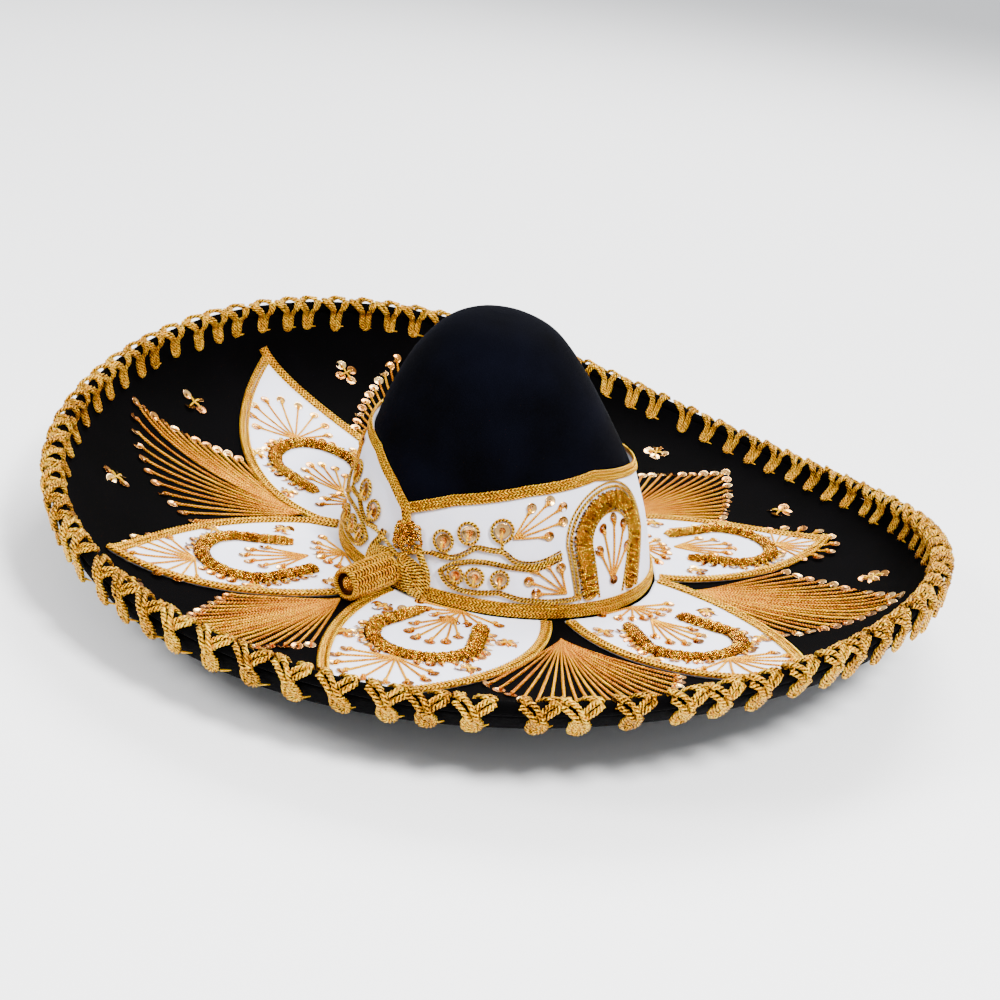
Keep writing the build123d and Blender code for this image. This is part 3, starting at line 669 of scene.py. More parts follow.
def edge_surface(angle, s, lift):
    """Points that wrap the edge: s is the distance from its crest, plus on the underside."""
    angle, s, lift = np.broadcast_arrays(np.asarray(angle, float), s, lift)
    quarter = np.pi / 2 * ROLL_RADIUS
    centre, _, slope, radial = roll_centre(angle)
    turn = slope - np.clip(s / quarter, -1, 1) * np.pi / 2
    away = np.cos(turn)[..., None] * radial + np.sin(turn)[..., None] * UP
    on_roll = centre + away * (ROLL_RADIUS + lift)[..., None]
    beyond = np.maximum(np.abs(s) - quarter, 0)
    width = around(BRIM_WIDTH, np.radians(angle))
    place = board_end(angle) + (ROLL_RADIUS + GAP - beyond) / width
    ease = np.clip(beyond / 6, 0, 1)
    extra = (ROLL_RADIUS - BRIM_THICKNESS / 2) * (1 - ease**2 * (3 - 2 * ease))
    above = s < 0
    level = np.where(above, lift + extra, -BRIM_THICKNESS - lift - extra)
    flat, normal = brim(angle, place, level)
    normal = np.where(above[..., None], normal, -normal)
    blend = np.clip(beyond / 3, 0, 1)[..., None]
    return on_roll * (1 - blend) + flat * blend, unit(away * (1 - blend) + normal * blend)


LOOPS = 80
CORD_UNDER = 1.8               # radius of the cord on the underside
CORD_ABOVE = 1.4               # on the upper side it is pulled flat and narrow
PAIR = 0.80                    # half the distance between the two cords of a pair, in radii
PITCH = 22.8
HEAD_PLACE = 15.6              # from the crest to the middle of a loop's head on the underside
HEAD_RADIUS = 3.3
TIP_PLACE = 19.5               # the same on the upper side
TIP_RADIUS = 2.5
TIP_LEAN = -3.0
FLATTENED = 0.85               # thickness of the cord over its width
BULK = 0.24                    # rise of the cord where it lies on itself, per mm from the crest


def lace_unit():
    """One unit of lacing as (along the edge, from the crest, height) at even steps.

    On the underside two legs start at neighbouring crests, cross, and meet in a round head. On
    the upper side they lie side by side and meet in a narrow tip."""
    half = PITCH / 2 - 1.7
    turn = np.radians(np.arange(-15, 196, 15))
    over = [(-half, 0, 0.6), (-half * 0.62, 1.5, 1.4), (-2.0, 3.6, 2.2), (0.9, 7.2, 2.0),
            (2.6, 11.2, 0.8)]
    head = [(HEAD_RADIUS * np.cos(t), HEAD_PLACE + HEAD_RADIUS * np.sin(t), 0) for t in turn]
    under = [(-2.6, 11.2, 0), (-0.9, 7.2, 0), (2.0, 3.6, 0), (half * 0.62, 1.5, 0), (half, 0, 0)]
    side = TIP_RADIUS
    fall = [(half * 0.7, -1.8, 0), (TIP_LEAN + side + 2.6, -4.6, 0), (TIP_LEAN + side + 0.2, -9.0, 0)]
    turn = np.radians(np.arange(0, -181, -15))
    tip = [(TIP_LEAN + side * np.cos(t), -TIP_PLACE + side * np.sin(t), 0) for t in turn]
    rise = [(TIP_LEAN - side - 0.2, -9.0, 0), (TIP_LEAN - side - 1.2, -4.6, 0.2),
            (-half * 0.9, -1.8, 0.5), (-half, 0, 0.6)]
    return np.array(over + head + under + fall + tip + rise, float)


def lay_lace():
    stock, ticks = Stock(), Stock()
    line = smooth(resample(lace_unit(), 1.42), 3)
    plane = line[:, :2]
    across = left_of(plane)
    radius = CORD_ABOVE + (CORD_UNDER - CORD_ABOVE) * np.clip((plane[:, 1] + 6) / 6, 0, 1)
    for unit_index in range(LOOPS):
        angle = 360 * unit_index / LOOPS + 0.4 * rng.standard_normal()
        grow = 1 + 0.05 * rng.standard_normal()
        lean = 0.06 * rng.standard_normal()
        tone = rng.uniform(0.3, 0.8)
        arc = np.hypot(*roll_centre(np.array(angle))[0][:2])
        for offset in (-PAIR, PAIR):
            spot = plane + across * (radius * offset)[:, None]
            s = spot[:, 1] * np.where(np.abs(spot[:, 1]) > 8, grow, 1)
            turn = angle + np.degrees((spot[:, 0] + lean * s) / arc)
            stand_off = BULK * np.clip(s - 8, 0, None)
            path, normal = edge_surface(turn, s, line[:, 2] + radius * FLATTENED + 0.1 + stand_off)
            tube(stock, path, normal, radius, plies=3, pitch=6.8, flat=FLATTENED,
                 phase=rng.uniform(0, 6), depth=0.4, tone=tone)
        for s, first, last in ((HEAD_PLACE + 3.4, 2.5, 8.5), (-TIP_PLACE - 1.5, -4.5, -9.5)):
            turn = angle + np.degrees(np.linspace(first, last, 7) / arc)
            path, normal = edge_surface(turn, s, 0.4 + BULK * max(s - 8, 0) * np.linspace(1, 0.2, 7))
            tube(ticks, path, normal, np.linspace(0.8, 0.25, 7), sides=6, tone=rng.uniform(0.2, 0.8))
    stock.build("edge_cord", cord_gold)
    ticks.build("edge_stitches", fan_gold)


lay_lace()

# ---- crown band
ABOVE_BAND = BAND_LIFT + 0.05
CORD_STEP = 0.7
BRAID_STEP = 0.42
TOP_BRAID = 7.0
BOTTOM_BRAID = 9.0
FELT_UNDER_BRAID = 3.0         # how far the felt stops below the top of its braid

turns = BAND_FRONT + np.linspace(0, 360, 721)[:-1]
share = np.linspace(0, 1, 22)
heights = BAND_BOTTOM + (band_height(turns) - FELT_UNDER_BRAID - BAND_BOTTOM)[:, None] * share
outer, normal = crown(turns[:, None], heights, BAND_LIFT)
outer = outer + normal * (rumple(outer, 16, 0.12, 1.0) - 0.1)[..., None]
inner, _ = crown(turns[:, None], heights, 3 * GAP)
stock = Stock()
stock.shell(inner, outer, closed=True)
band_felt = stock.build("band_felt", white_felt)

stock = Stock()
turns = BAND_FRONT + np.linspace(0.6, 359.4, 2400)
levels = band_height(turns) - TOP_BRAID / 2 + 0.4
lifts = ABOVE_BAND + 2.0 * np.clip((turns - BAND_FRONT - 350) / 9.4, 0, 1)
turns = np.append(turns, (BAND_FRONT + 361.5, BAND_FRONT + 362.6))
levels = np.append(levels, (46.0, 38.0))
lifts = np.append(lifts, (ABOVE_BAND + 2.2, ABOVE_BAND + 1.0))
path, normal = crown(turns, levels, lifts)
path = smooth(resample(np.concatenate([path, normal], 1), BRAID_STEP), 12)
braid(stock, path[:, :3], path[:, 3:], TOP_BRAID, columns=4, pitch=4.6, tone=0.6)
stock.build("band_top_braid", braid_gold)

stock = Stock()
turns = np.linspace(0, 360, 1700)[:-1]
path, normal = crown(turns, BAND_BOTTOM + BOTTOM_BRAID / 2, ABOVE_BAND)
braid(stock, path, normal, BOTTOM_BRAID, columns=5, pitch=4.4, height=1.0, closed=True, tone=0.5)
stock.build("band_bottom_braid", braid_gold)


def on_band(angle, height, points, lift):
    """Points drawn upright at the crown, x across and y up, laid on the band."""
    points = np.asarray(points, float)
    level = height + points[:, 1]
    radius = crown_skin(np.radians(np.full(len(points), angle)), level)
    turn = angle + np.degrees(np.arcsin(np.clip(points[:, 0] / radius, -1, 1)))
    return crown(turn, level, ABOVE_BAND + lift)


def band_cord(stock, angle, height, points, radius, closed=False, tone=0.6, rounds=3):
    """A cord sewn to the band along drawn points."""
    line = smooth(resample(points, CORD_STEP, closed), rounds, closed)
    path, normal = on_band(angle, height, line, radius)
    cord(stock, path, normal, radius, 4.4, 0.5, closed=closed, tone=tone)


COIL_MARGIN = 0.8


def bullion(stock, path, up, width, height, spacing=1.9, radius=1.15):
    """A padded line of metal coils laid across it side by side."""
    along, side, up = directions(path, up)
    length = run(path)
    ends = np.minimum(length, length[-1] - length)
    swell = np.clip(ends / (width * 0.4), 0.45, 1) ** 0.5
    core = path + up * (height * 0.2)
    # The padding's low tone is painted shade, seen between the coils.
    tube(stock, core, up, width * 0.42 * swell, sides=12, flat=height * 1.3 / width, tone=0.0)
    across = np.linspace(-1, 1, 13)
    where = COIL_MARGIN
    while where < length[-1] - COIL_MARGIN:
        rows = (*path.T, *side.T, *up.T, *along.T)
        centre, s, u, a = np.reshape([np.interp(where, length, row) for row in rows], (4, 3))
        fat = np.interp(where, length, swell)
        half = width / 2 * fat * rng.uniform(0.94, 1.06)
        arch = height * fat * np.sqrt(np.clip(1 - across**2 * 0.98, 0, 1)) * rng.uniform(0.85, 1.12)
        rib = centre + np.outer(across * half, s) + np.outer(arch, u)
        slant = 0.32 + 0.1 * rng.standard_normal()
        rib = rib + np.outer(slant * np.abs(across) * half, a)
        cord(stock, rib, np.outer(arch + 0.5, u) + np.outer(across * half, s),
             radius * rng.uniform(0.9, 1.1), 2.4, 0.35, phase=rng.uniform(0, 3),
             tone=rng.uniform(0, 1))
        where += spacing * rng.uniform(0.88, 1.12)


def horseshoe_line(radius, leg, mouth):
    """An arch on two legs that draw together toward the mouth, drawn from its foot upward."""
    turn = np.radians(np.arange(0, 181, 6))
    arch = [(radius * np.cos(t), leg + radius * np.sin(t)) for t in turn]
    return np.array([(mouth, 0)] + arch + [(-mouth, 0)])


# The section of a sequin, as (distance from its axis, height), in radii but for the height in mm.
SEQUIN = np.array([(0.14, 0.12), (0.5, 0.06), (0.86, 0.34), (1.0, 0.55),
                   (1.0, 0.47), (0.84, 0.2), (0.5, -0.06), (0.14, 0.02)])
SEQUIN_SIDES = 14


def sequin(stock, centre, normal, radius, tone, tilt=0.12):
    """A thin dished disc with a hole in it."""
    wobble = unit(normal + tilt * rng.standard_normal(3))
    side = unit(np.cross(wobble, np.array([0.31, 0.87, 0.38])))
    other = np.cross(wobble, side)
    t = 2 * np.pi * np.arange(SEQUIN_SIDES) / SEQUIN_SIDES
    reach = SEQUIN[:, :1] * radius
    points = centre + (reach * np.cos(t))[..., None] * side + (reach * np.sin(t))[..., None] * other
    points = points + (SEQUIN[:, 1] * 0.9)[:, None, None] * wobble
    stock.grid(points[::-1], closed=True, tone=tone)


def stitch(stock, start, end, normal, radius=0.6, rise=0.8, tone=0.5):
    """A short thick stitch that bows up between its ends."""
    share = np.linspace(0, 1, 8)[:, None]
    path = start + (end - start) * share + normal * rise * np.sin(np.pi * share)
    swell = radius * (0.55 + 0.45 * np.sin(np.pi * share[:, 0]))
    tube(stock, path, normal, swell, sides=6, tone=tone)


MOTIF_ANGLE = 33.0
MOTIF_HEIGHT = 36.0
# The motif beside the horseshoe: rings as (x, y, radius), then lines, then thread fans as
# (start, length, half angle, threads, lean, bulge).
RINGS = ((-26.4, 4.8, 5.8), (-11.9, 12.7, 6.0), (7.4, 17.6, 6.2),
         (-16.4, -14.2, 4.5), (-4.8, -12.9, 5.2), (10, -11.7, 5.0))
TAILS = (((-24, -0.5), (-22, -4.6)), ((-9.5, 7.0), (-6.6, 5.4)), ((8.6, 11.6), (8.9, 5.4)))
EYE_TOP = ((-26.7, -13.7), (-22.5, -9.2), (-17.5, -6.2), (-9, -2.8), (0, -1.6), (8, -1.8),
           (16, -2.6), (28, -3.0), (34, -0.5), (43, 4.5))
EYE_BOTTOM = ((-26.7, -13.7), (-24, -18), (-19.6, -21.5), (-12, -23), (-4.1, -23), (3, -21.8),
              (10.6, -20.5), (22.3, -23.4), (40, -24.2), (54, -23.0), (57.5, -20.0))
SCROLL = ((-33, -5), (-26, -5.2), (-20.3, -4.8), (-14.5, -2), (-10.4, 1.3), (-5.6, 5.2), (1.5, 4.6),
          (8.9, 5), (12.5, 3), (15.7, 0.3), (21, -1.2), (28, -1.0), (35, 1.5), (43, 6.5))
MOTIF_FANS = (((14.5, 13.8), 20, 30, 5, 52, 0.6), ((49, -18.5), 17, 36, 5, -54, 0.5))
SHOE_FAN = ((0.5, 0), 23, 33, 5, 2, 0.62)
SHOE_FAN_HEIGHT = MOTIF_HEIGHT - 14
SHOE_ANGLE = 82.5
SHOE_HEIGHT = 40.0
SHOE_FOOT = -27.5
BAND_SHOE_LEG = 34
# Radius, half the mouth and radius of the cord.
SHOE_OUTLINES = ((30.9, 24.2, 1.15), (33.2, 26.4, 0.85), (17.0, 10.0, 0.8))
BULLION_STEP = 0.8


def eye_line(length, height):
    """A pointed oval."""
    t = np.linspace(0, 2 * np.pi, 60)[:-1]
    x = length / 2 * np.cos(t)
    return np.stack([x, height / 2 * np.sign(np.sin(t)) * (1 - (2 * x / length) ** 2) ** 0.9], -1)


def fan_ends(start, length, half_angle, count, lean=0.0, bulge=0.0):
    """Ends of the threads of a small fan; bulge makes the middle ones longer."""
    share = np.linspace(-1, 1, count)
    turns = np.radians(lean + share * half_angle)
    reach = length * (1 + bulge * (1 - share**2))
    return np.stack([start[0] + reach * np.sin(turns), start[1] + reach * np.cos(turns)], -1)


def beside(points, offset):
    """The same line a little to one side."""
    points = smooth(resample(points, CORD_STEP), 3)
    return points + left_of(points) * offset


DROP = (0.85, 1.0, 1.3, 1.5, 1.35, 1.0, 0.4)
DROP_LIFT = np.array([0.1, 0.3, 0.5, 0.6, 0.6, 0.4, 0.1])


def ray(stock, line, place, tone):
    """A thread that thickens into the drop that holds a sequin down."""
    line = resample(line, 0.9)
    radius = np.full(len(line), 0.82)
    radius[-7:] = DROP
    path, normal = place(line)
    path[-7:] += normal[-7:] * DROP_LIFT[:, None]
    cord(stock, path, normal, radius, 3.4, 0.3, tone=tone)


scrolls, rings, band_rays, sequins, knots = Stock(), Stock(), Stock(), Stock(), Stock()
for label, mirrored in (("left", 1), ("right", -1)):
    shoe_angle = BAND_FRONT + mirrored * SHOE_ANGLE
    motif_angle = BAND_FRONT + mirrored * MOTIF_ANGLE
    flip = np.array([mirrored, 1])
    line = resample(horseshoe_line(23.5, BAND_SHOE_LEG, 16.5), BULLION_STEP) + (0, SHOE_FOOT)
    path, normal = on_band(shoe_angle, SHOE_HEIGHT, smooth(line, 3), 0)
    stock = Stock()
    bullion(stock, path, normal, 11.5, 3.3, spacing=1.7, radius=1.0)
    stock.build("band_horseshoe_" + label, bullion_gold)
    for radius, mouth, size in SHOE_OUTLINES:
        line = horseshoe_line(radius, BAND_SHOE_LEG, mouth) + (0, SHOE_FOOT)
        band_cord(scrolls, shoe_angle, SHOE_HEIGHT, line, size)
    for line, offset in ((EYE_TOP, -1.9), (EYE_BOTTOM, 1.7), (SCROLL, 1.8)):
        line = np.array(line) * flip
        double = beside(line, offset * mirrored)
        band_cord(scrolls, motif_angle, MOTIF_HEIGHT, line, 1.2, rounds=8)
        band_cord(scrolls, motif_angle, MOTIF_HEIGHT, double, 0.75, rounds=8, tone=0.2)
    for x, y, size in RINGS:
        t = np.radians(np.arange(0, 360, 9))
        spot = np.array([x, y]) * flip
        oval = np.stack([size * np.cos(t), size * 1.06 * np.sin(t)], -1) + spot
        band_cord(rings, motif_angle, MOTIF_HEIGHT, oval, 1.2, closed=True, rounds=1)
        (centre,), (normal,) = on_band(motif_angle, MOTIF_HEIGHT, [spot], 0.5)
        sequin(sequins, centre, normal, size - 1.3, rng.uniform(0.4, 0.9))
        sequin(sequins, centre + normal * 0.9, normal, 1.6, rng.uniform(0.2, 0.7))
        (lead,), _ = on_band(motif_angle, MOTIF_HEIGHT, [spot + (0, -size - 0.5)], 2.4)
        stitch(knots, centre + normal * 1.3, lead, normal, 0.8)
    for tail in TAILS:
        band_cord(rings, motif_angle, MOTIF_HEIGHT, np.array(tail) * flip, 1.2)
    fans = [(motif_angle, MOTIF_HEIGHT, fan) for fan in MOTIF_FANS]
    fans.append((shoe_angle, SHOE_FAN_HEIGHT, SHOE_FAN))
    for angle, height, (start, *fan) in fans:
        for end in fan_ends(start, *fan):
            (centre,), (normal,) = on_band(angle, height, np.array([end]) * flip, 0.6)
            sequin(sequins, centre - normal * 0.5, normal, 3.3, rng.uniform(0.3, 0.95))
            ray(band_rays, np.array([start, end]) * flip,
                lambda points: on_band(angle, height, points, 0.6), rng.uniform(0.3, 1))
(centre,), (normal,) = on_band(BAND_FRONT + SHOE_ANGLE, SHOE_FAN_HEIGHT, [SHOE_FAN[0]], 1.2)
sequin(sequins, centre, normal, 3.0, 0.1)
scrolls.build("band_scrolls", cord_gold)
rings.build("band_rings", cord_gold)
band_rays.build("band_rays", ray_gold)
sequins.build("band_sequins", sequin_gold)
knots.build("band_stitches", ray_gold)

# ---- petals
PETAL_BRAID = 7.2
TIP_OVERLAP = 4.5              # how far the braids run past the tip of a leaf
SEWN_DOWN = 0.85               # how far the braid pulls the edge of a leaf down
SHOE_RADIUS = 31.0
SHOE_LEG = 36.0
SHOE_MOUTH = 20.0
SHOE_WIDTH = 9.5
SHOE_START = 24.0
# Each leaf's thread fans, as (start, length, half angle, threads, bulge).
PETAL_FANS = ((2.0, 27.0, 82.0, 8, -0.35), (22.0, 28.0, 32.0, 6, 0.5), (97.0, 29.0, 74.0, 9, 0.45))
PETAL_FLOWERS = ((41, 28), (-41, 26), (40, 76), (-40, 78))
MOTIF_SWAY = {"right": -10.0}
TIP_FAN_LEAN = {"right": 10.0}
BRAID_START = 0.02


def petal_rim(name, inset):
    """The petal's outline on the ground plan, moved inward, as its two sides from crown to tip."""
    base, tip, reach, _ = PETALS[name]
    sides = []
    for side in (1, -1):
        fraction = np.linspace(BRAID_START, 1, 400)
        line = plan(petal_edge(name, fraction, side), reach * fraction)
        inward = left_of(line)
        middle = plan(base + (tip - base) * fraction, reach * fraction)
        inward = inward * np.sign(((middle - line) * inward).sum(-1, keepdims=True))
        inward[-1] = inward[-2]
        line = line + inward * inset
        gap = ((line - middle) * inward).sum(-1)
        crossed = np.nonzero(gap > 0)[0]
        sides.append(line[: crossed[0] + 1] if len(crossed) else line)
    return sides


def on_felt(name, points, lift):
    """Points drawn on a leaf, x across and y from its foot to its tip, laid over its felt."""
    base, tip, reach, _ = PETALS[name]
    foot = plan(base, 0.0)
    along = unit(plan(tip, reach) - foot)
    across = np.array([along[1], -along[0]])
    points = np.asarray(points, float) + (MOTIF_SWAY.get(name, 0), 0)
    ground = foot + points[..., :1] * across + points[..., 1:2] * along
    return brim_over(ground[..., 0], ground[..., 1], FELT_TOP + lift)


petal_rays, petal_sequins, petal_stitches = Stock(), Stock(), Stock()


def flower(discs, threads, centre, normal, spread, radius, spin, place):
    """Four sequins and the cross of thick stitches that holds them; place(x, y) finds the cloth."""
    for quarter in range(4):
        t = spin + quarter * np.pi / 2
        spot, up = place(spread * np.cos(t), spread * np.sin(t))
        sequin(discs, spot, up, radius, rng.uniform(0.15, 0.95), 0.16)
        stitch(threads, centre + normal * 0.5, spot + up * 0.5, normal, 0.75, 0.7,
               rng.uniform(0.2, 0.9))


for label, (base, tip, reach, shift) in PETALS.items():
    fraction = np.linspace(0, 0.997, 120)
    across = np.linspace(-1, 1, 60)
    right_edge, left_edge = petal_edge(label, fraction, -1), petal_edge(label, fraction, 1)
    angle = right_edge[:, None] + (left_edge - right_edge)[:, None] * (across + 1) / 2
    place = np.broadcast_to((reach * fraction)[:, None], angle.shape)
    sewn_down = SEWN_DOWN * np.clip((np.abs(across) - 0.88) / 0.12, 0, 1)
    upper, normal = brim(angle, place, np.broadcast_to(FELT_TOP - sewn_down, angle.shape))
    upper = upper + normal * (rumple(upper, 15, 0.1, base) - 0.05)[..., None]
    lower, _ = brim(angle, place, GAP)
    stock = Stock()
    stock.shell(upper, lower)
    stock.build("petal_" + label, white_felt)

    stock = Stock()
    left, right = petal_rim(label, PETAL_BRAID / 2 - 1.5)
    for lift, line in ((0.0, left), (0.5, right)):
        line = np.concatenate([line, [line[-1] + unit(line[-1] - line[-4]) * TIP_OVERLAP]])
        line = resample(line, BRAID_STEP)
        crossing = lift * np.linspace(0, 1, len(line)) ** 12
        path, normal = brim_over(*line.T, FELT_TOP - SEWN_DOWN * 0.6 + crossing)
        braid(stock, path, normal, PETAL_BRAID, columns=3, pitch=5.4, tone=0.6)
    stock.build("petal_braid_" + label, braid_gold)

    foot = SHOE_START + shift
    line = resample(horseshoe_line(SHOE_RADIUS, SHOE_LEG, SHOE_MOUTH), BULLION_STEP)
    line = smooth(line, 6) + (0, foot)
    path, normal = on_felt(label, line, 0.05)
    stock = Stock()
    bullion(stock, path, normal, SHOE_WIDTH, 3.4)
    stock.build("petal_horseshoe_" + label, bullion_gold)

    for index, (start, length, half_angle, count, bulge) in enumerate(PETAL_FANS):
        middle = np.array([0, start + (shift if index else 0)])
        lean = TIP_FAN_LEAN.get(label, 0) if index == 2 else 0
        for end in fan_ends(middle, length, half_angle, count, lean, bulge):
            spot, up = on_felt(label, end, 0.1)
            sequin(petal_sequins, spot, up, 3.5, rng.uniform(0.2, 0.9), 0.1)
            ray(petal_rays, np.array([middle, end]),
                lambda points: on_felt(label, points, 0.55), rng.uniform(0.3, 1))
    ring = horseshoe_line(SHOE_RADIUS + SHOE_WIDTH / 2 + 3.0, SHOE_LEG, SHOE_MOUTH + 8) + (0, foot)
    for drawn in resample(ring, 7.2)[1:-1]:
        near_flower = min(np.hypot(*(drawn - flower_at)) for flower_at in PETAL_FLOWERS) < 8
        if near_flower or (abs(drawn[0]) < 7 and drawn[1] > foot + SHOE_LEG):
            continue
        spot, up = on_felt(label, drawn, 0.15)
        sequin(petal_sequins, spot, up, 3.3, rng.uniform(0.2, 0.9), 0.16)
        toward = np.array([0, foot + SHOE_LEG * 0.6]) - drawn
        inner = on_felt(label, drawn + toward / np.hypot(*toward) * 2.6, 0.4)[0]
        stitch(petal_stitches, spot + up * 0.6, inner, up, 0.7, 0.8, rng.uniform(0.3, 1))
    for x, y in PETAL_FLOWERS:
        centre, up = on_felt(label, (x, y), 0.15)
        flower(petal_sequins, petal_stitches, centre, up, 4.7, 3.4, rng.uniform(0, 1.5),
               lambda dx, dy: on_felt(label, (x + dx, y + dy), 0.15))
petal_rays.build("petal_rays", ray_gold)
petal_sequins.build("petal_sequins", sequin_gold)
petal_stitches.build("petal_stitches", ray_gold)

# ---- thread fans and flowers
fan_sequins = Stock()
names = list(PETALS)
for petal, (label, (foot, tip, start, end)) in zip(names, FANS.items()):
    following = names[(names.index(petal) + 1) % len(names)]
    shoulder = {
        -1: petal_edge(petal, FAN_SHOULDER / PETALS[petal][2], 1) + FAN_MARGIN,
        1: petal_edge(following, FAN_SHOULDER / PETALS[following][2], -1) - FAN_MARGIN,
    }
    if following == names[0]:
        shoulder[1] += 360
    stock = Stock()
    origin = plan(foot, start)
    for index, across in enumerate(np.linspace(-1, 1, FAN_THREADS)):
        angle = tip + (shoulder[1 if across > 0 else -1] - tip) * abs(across)
        place = end - (end - FAN_SHOULDER) * abs(across)
        far = plan(angle, place + 0.012)
        line = resample(np.array([origin, far]), 1.0)
        share = np.linspace(0, 1, len(line))
        radius = 0.5 + 0.52 * np.clip(share * 1.8, 0, 1)
        radius[-3:] = (0.9, 0.8, 0.45)
        pile = (0.35 + 0.9 * ((index * 7) % 5) / 4) * np.clip(1 - share * 3.0, 0, 1)
        path, normal = brim_over(*line.T, GAP + 0.75 + pile)
        path[-4:] += normal[-4:] * np.array([0.3, 0.6, 0.6, 0.2])[:, None]
        cord(stock, path, normal, radius, 4.2 * (-1) ** index, 0.42,
             phase=rng.uniform(0, 6), tone=rng.uniform(0.1, 1))
        spot, up = brim_over(*far, GAP + 0.1)
        sequin(fan_sequins, spot, up, 3.7, rng.uniform(0.2, 0.95), 0.14)
    stock.build("thread_fan_" + label, fan_gold)
fan_sequins.build("fan_sequins", sequin_gold)

flower_sequins, flower_stitches = Stock(), Stock()
for angle in FLOWER_ANGLES:
    centre, up = brim(angle, np.float64(FLOWER_PLACE), GAP + 0.1)
    flower(flower_sequins, flower_stitches, centre, up, 6.0, 4.0, rng.uniform(0, 0.6),
           lambda dx, dy: brim_over(centre[0] + dx, centre[1] + dy, GAP + 0.1))
flower_sequins.build("flower_sequins", sequin_gold)
flower_stitches.build("flower_stitches", ray_gold)

# ---- knot at the front of the band
BARREL_ANGLE = 1.5
BARREL_LENGTH = 37.0
BARREL_RADIUS = 10.5
BARREL_HEIGHTS = (14.5, 12.1)
BARREL_ROWS = 22
a = np.radians(BARREL_ANGLE)
outward = level_out(a)
begin = outward * (crown_skin(a, np.float64(0.0)) + 6.1) + UP * (BRIM_TOP + BARREL_HEIGHTS[0])
axis = unit(outward * BARREL_LENGTH + UP * (BARREL_HEIGHTS[1] - BARREL_HEIGHTS[0]))
side = unit(np.cross(axis, UP))
over = np.cross(side, axis)
stock = Stock()
for row in range(BARREL_ROWS):
    t = 2 * np.pi * row / BARREL_ROWS
    away = side * np.cos(t) + over * np.sin(t)
    length = np.linspace(0.8, BARREL_LENGTH - 0.8, 90)
    swell = BARREL_RADIUS - 1.6 + 0.35 * np.sin(length / BARREL_LENGTH * np.pi)
    path = begin + np.outer(length, axis) + np.outer(swell, away)
    cord(stock, path, away, 1.55, 4.8 * (-1) ** row, 0.55, tone=rng.uniform(0.3, 0.7))


def hoop(first, second, count):
    """Unit vectors round a circle between two directions."""
    t = np.linspace(0, 2 * np.pi, count + 1)[:-1]
    return np.outer(np.cos(t), first) + np.outer(np.sin(t), second)


ring = hoop(side, over, 48)
profile = [(0.6, 9.6), (BARREL_LENGTH - 0.6, 9.6), (BARREL_LENGTH - 0.6, 7.4), (0.6, 7.4)]
# A dark wall inside the cords: painted shade in the gaps between them.
wall = np.stack([begin + axis * x + ring * r for x, r in profile])
stock.grid(wall, closed=True, tone=0.0, groove_shade=1.0)
for x, size in ((0.8, 1.5), (BARREL_LENGTH - 0.9, 1.6)):
    circle = begin + axis * x + 8.6 * hoop(side, over, 119)
    cord(stock, circle, axis, size, 3.4, 0.4, closed=True, tone=0.7)
stock.build("knot_barrel", braid_gold)

BEAD_RADIUS = 5.4
stock = Stock()
middle = begin + axis * (BARREL_LENGTH - BEAD_RADIUS)
for _ in range(9):
    pole = unit(rng.standard_normal(3))
    first = unit(np.cross(pole, [0.3, 0.5, 0.8]))
    second = np.cross(pole, first)
    reach = BEAD_RADIUS - 0.7
    for row in np.linspace(-0.55, 0.55, 5):
        ring = reach * np.sqrt(1 - row**2) * hoop(first, second, 39)
        circle = middle + pole * row * reach + ring
        tube(stock, circle, circle - middle, 0.65, sides=6, plies=2, pitch=2.6, depth=0.3,
             closed=True, tone=rng.uniform(0.3, 1))
stock.build("knot_bead", bullion_gold)

ROSETTE = (5.7, 37.0)
ROSETTE_LOOPS = ((10.5, 0.0, 11), (7.5, 1.7, 8), (4.5, 3.2, 5))
stock = Stock()
for reach, lift, count in ROSETTE_LOOPS:
    for index in range(count):
        heading = 2 * np.pi * (index + rng.uniform(-0.3, 0.3)) / count + reach
        t = np.linspace(0, 2 * np.pi, 44)
        along = reach * rng.uniform(0.85, 1.1) * np.sin(t / 2)
        across = rng.uniform(1.7, 2.6) * np.sin(t)
        loop = np.stack([along * np.cos(heading) - across * np.sin(heading),
                         along * np.sin(heading) + across * np.cos(heading)], -1)
        path, normal = on_band(*ROSETTE, loop, 1.2 + lift + 1.4 * np.sin(t / 2))
        cord(stock, path, normal, 1.2, 3.2, 0.45, tone=rng.uniform(0, 1))
stock.build("knot_rosette", bullion_gold)

LEAF_ANGLE = 8.0
LEAF_HEIGHT = 13.5
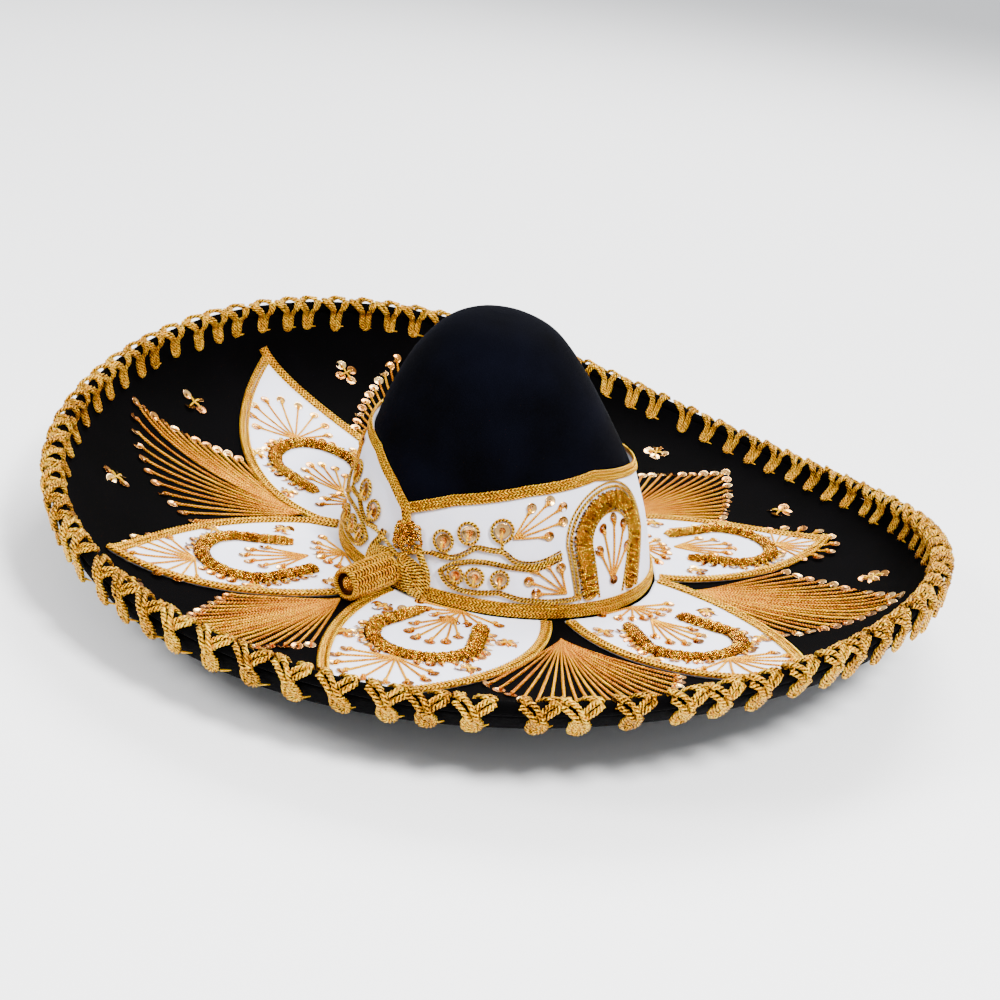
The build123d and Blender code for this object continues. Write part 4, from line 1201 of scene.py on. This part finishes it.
# Each cord of a leaf as (length, height, lift).
LEAF_CORDS = ((30, 17, 0.2), (25.5, 13, 0.6), (21, 9.4, 1.0), (16, 5.8, 1.3), (11, 2.4, 1.5))
STEM_WIDENING = 1.65
STEM = ((11, 34), (12.4, 28), (15.5, 21), (17, 13), (15, 6))
CROSS_CORD = ((1, 22), (6, 25.5), (11, 29.5), (17, 32), (21, 31))
stock = Stock()
for mirrored in (1, -1):
    slope = np.radians(-46 * mirrored)
    spin = np.array([[np.cos(slope), np.sin(slope)], [-np.sin(slope), np.cos(slope)]])
    for length, height, lift in LEAF_CORDS:
        line = smooth(resample(eye_line(length, height) @ spin, CORD_STEP, True), 3, True)
        path, normal = on_band(BAND_FRONT + mirrored * LEAF_ANGLE, LEAF_HEIGHT, line, 3.2 + lift)
        cord(stock, path, normal, 1.35, 4.6, 0.5, closed=True, tone=rng.uniform(0.2, 0.9))
    for line, offsets in ((STEM, (-1.3, 1.3)), (CROSS_CORD, (0,))):
        for offset in offsets:
            points = (np.array(line) - (BAND_FRONT, 0)) * (STEM_WIDENING, 1)
            turn, level = (smooth(resample(points, CORD_STEP), 6) + (offset, 0)).T
            turn = BAND_FRONT + mirrored * turn / STEM_WIDENING
            path, normal = crown(turn, level, ABOVE_BAND + 2.2)
            cord(stock, path, normal, 1.45, 4.4, 0.5, tone=rng.uniform(0.2, 0.9))
stock.build("knot_loops", cord_gold)

# ---- floor, light and camera
CAMERA_DISTANCE = 1182.0
CAMERA_AZIMUTH = 39.9
CAMERA_ELEVATION = 20.74
CAMERA_ROLL = 7.8
CAMERA_SENSOR = 36.0
CAMERA_LENS = 65.2464
CAMERA_SHIFT = (-0.00463, 0.00284)
CAMERA_AIM = 36.0              # height above the upper velvet


def stand(name, data, azimuth, elevation, distance, roll=0.0, aim=UP * 0):
    """Places a lamp or the camera, facing its aim. The distance and the aim are in metres."""
    az, el, roll = np.radians([azimuth, elevation, roll])
    back = level_out(az) * np.cos(el) + UP * np.sin(el)
    right = unit(np.cross(UP, back))
    up = np.cross(back, right)
    pose = np.eye(4)
    pose[:3, 0] = np.cos(roll) * right + np.sin(roll) * up
    pose[:3, 1] = np.cos(roll) * up - np.sin(roll) * right
    pose[:3, 2] = back
    pose[:3, 3] = aim + back * distance
    made = add_object(name, data)
    made.matrix_world = Matrix(pose.tolist())
    return made


camera_data = bpy.data.cameras.new("camera")
bpy.context.scene.camera = stand("camera", camera_data, CAMERA_AZIMUTH, CAMERA_ELEVATION,
                                 CAMERA_DISTANCE * MM, CAMERA_ROLL, UP * (BRIM_TOP + CAMERA_AIM) * MM)
camera_data.sensor_width = CAMERA_SENSOR
camera_data.lens = CAMERA_LENS
camera_data.shift_x, camera_data.shift_y = CAMERA_SHIFT
camera_data.clip_end = 100

FLOOR_HALF = 30.0              # metres
floor_mesh = bpy.data.meshes.new("floor")
corners = [(x * FLOOR_HALF, y * FLOOR_HALF, 0) for x, y in ((-1, -1), (1, -1), (1, 1), (-1, 1))]
floor_mesh.from_pydata(corners, [], [(0, 1, 2, 3)])
floor = add_object("floor", floor_mesh)
floor.location.z = -0.0005
floor_mesh.materials.append(material("floor", (0.95, 0.95, 0.955), 0.9))

world = bpy.data.worlds.new("world")
bpy.context.scene.world = world
world.use_nodes = True
sky = world.node_tree.nodes["Background"]
sky.inputs["Color"].default_value = (0.95, 0.97, 1.0, 1)
sky.inputs["Strength"].default_value = 0.95


# Each lamp's azimuth, elevation, distance and size in metres, and watts.
for name, azimuth, elevation, distance, size, watts in (
    ("key", 75, 50, 2.2, 0.5, 115),
    ("fill", -25, 40, 2.4, 0.8, 50),
    ("rear", 205, 50, 3.4, 1.6, 200),
):
    light = bpy.data.lights.new(name, "AREA")
    light.size, light.energy = size, watts
    stand(name, light, azimuth, elevation, distance)
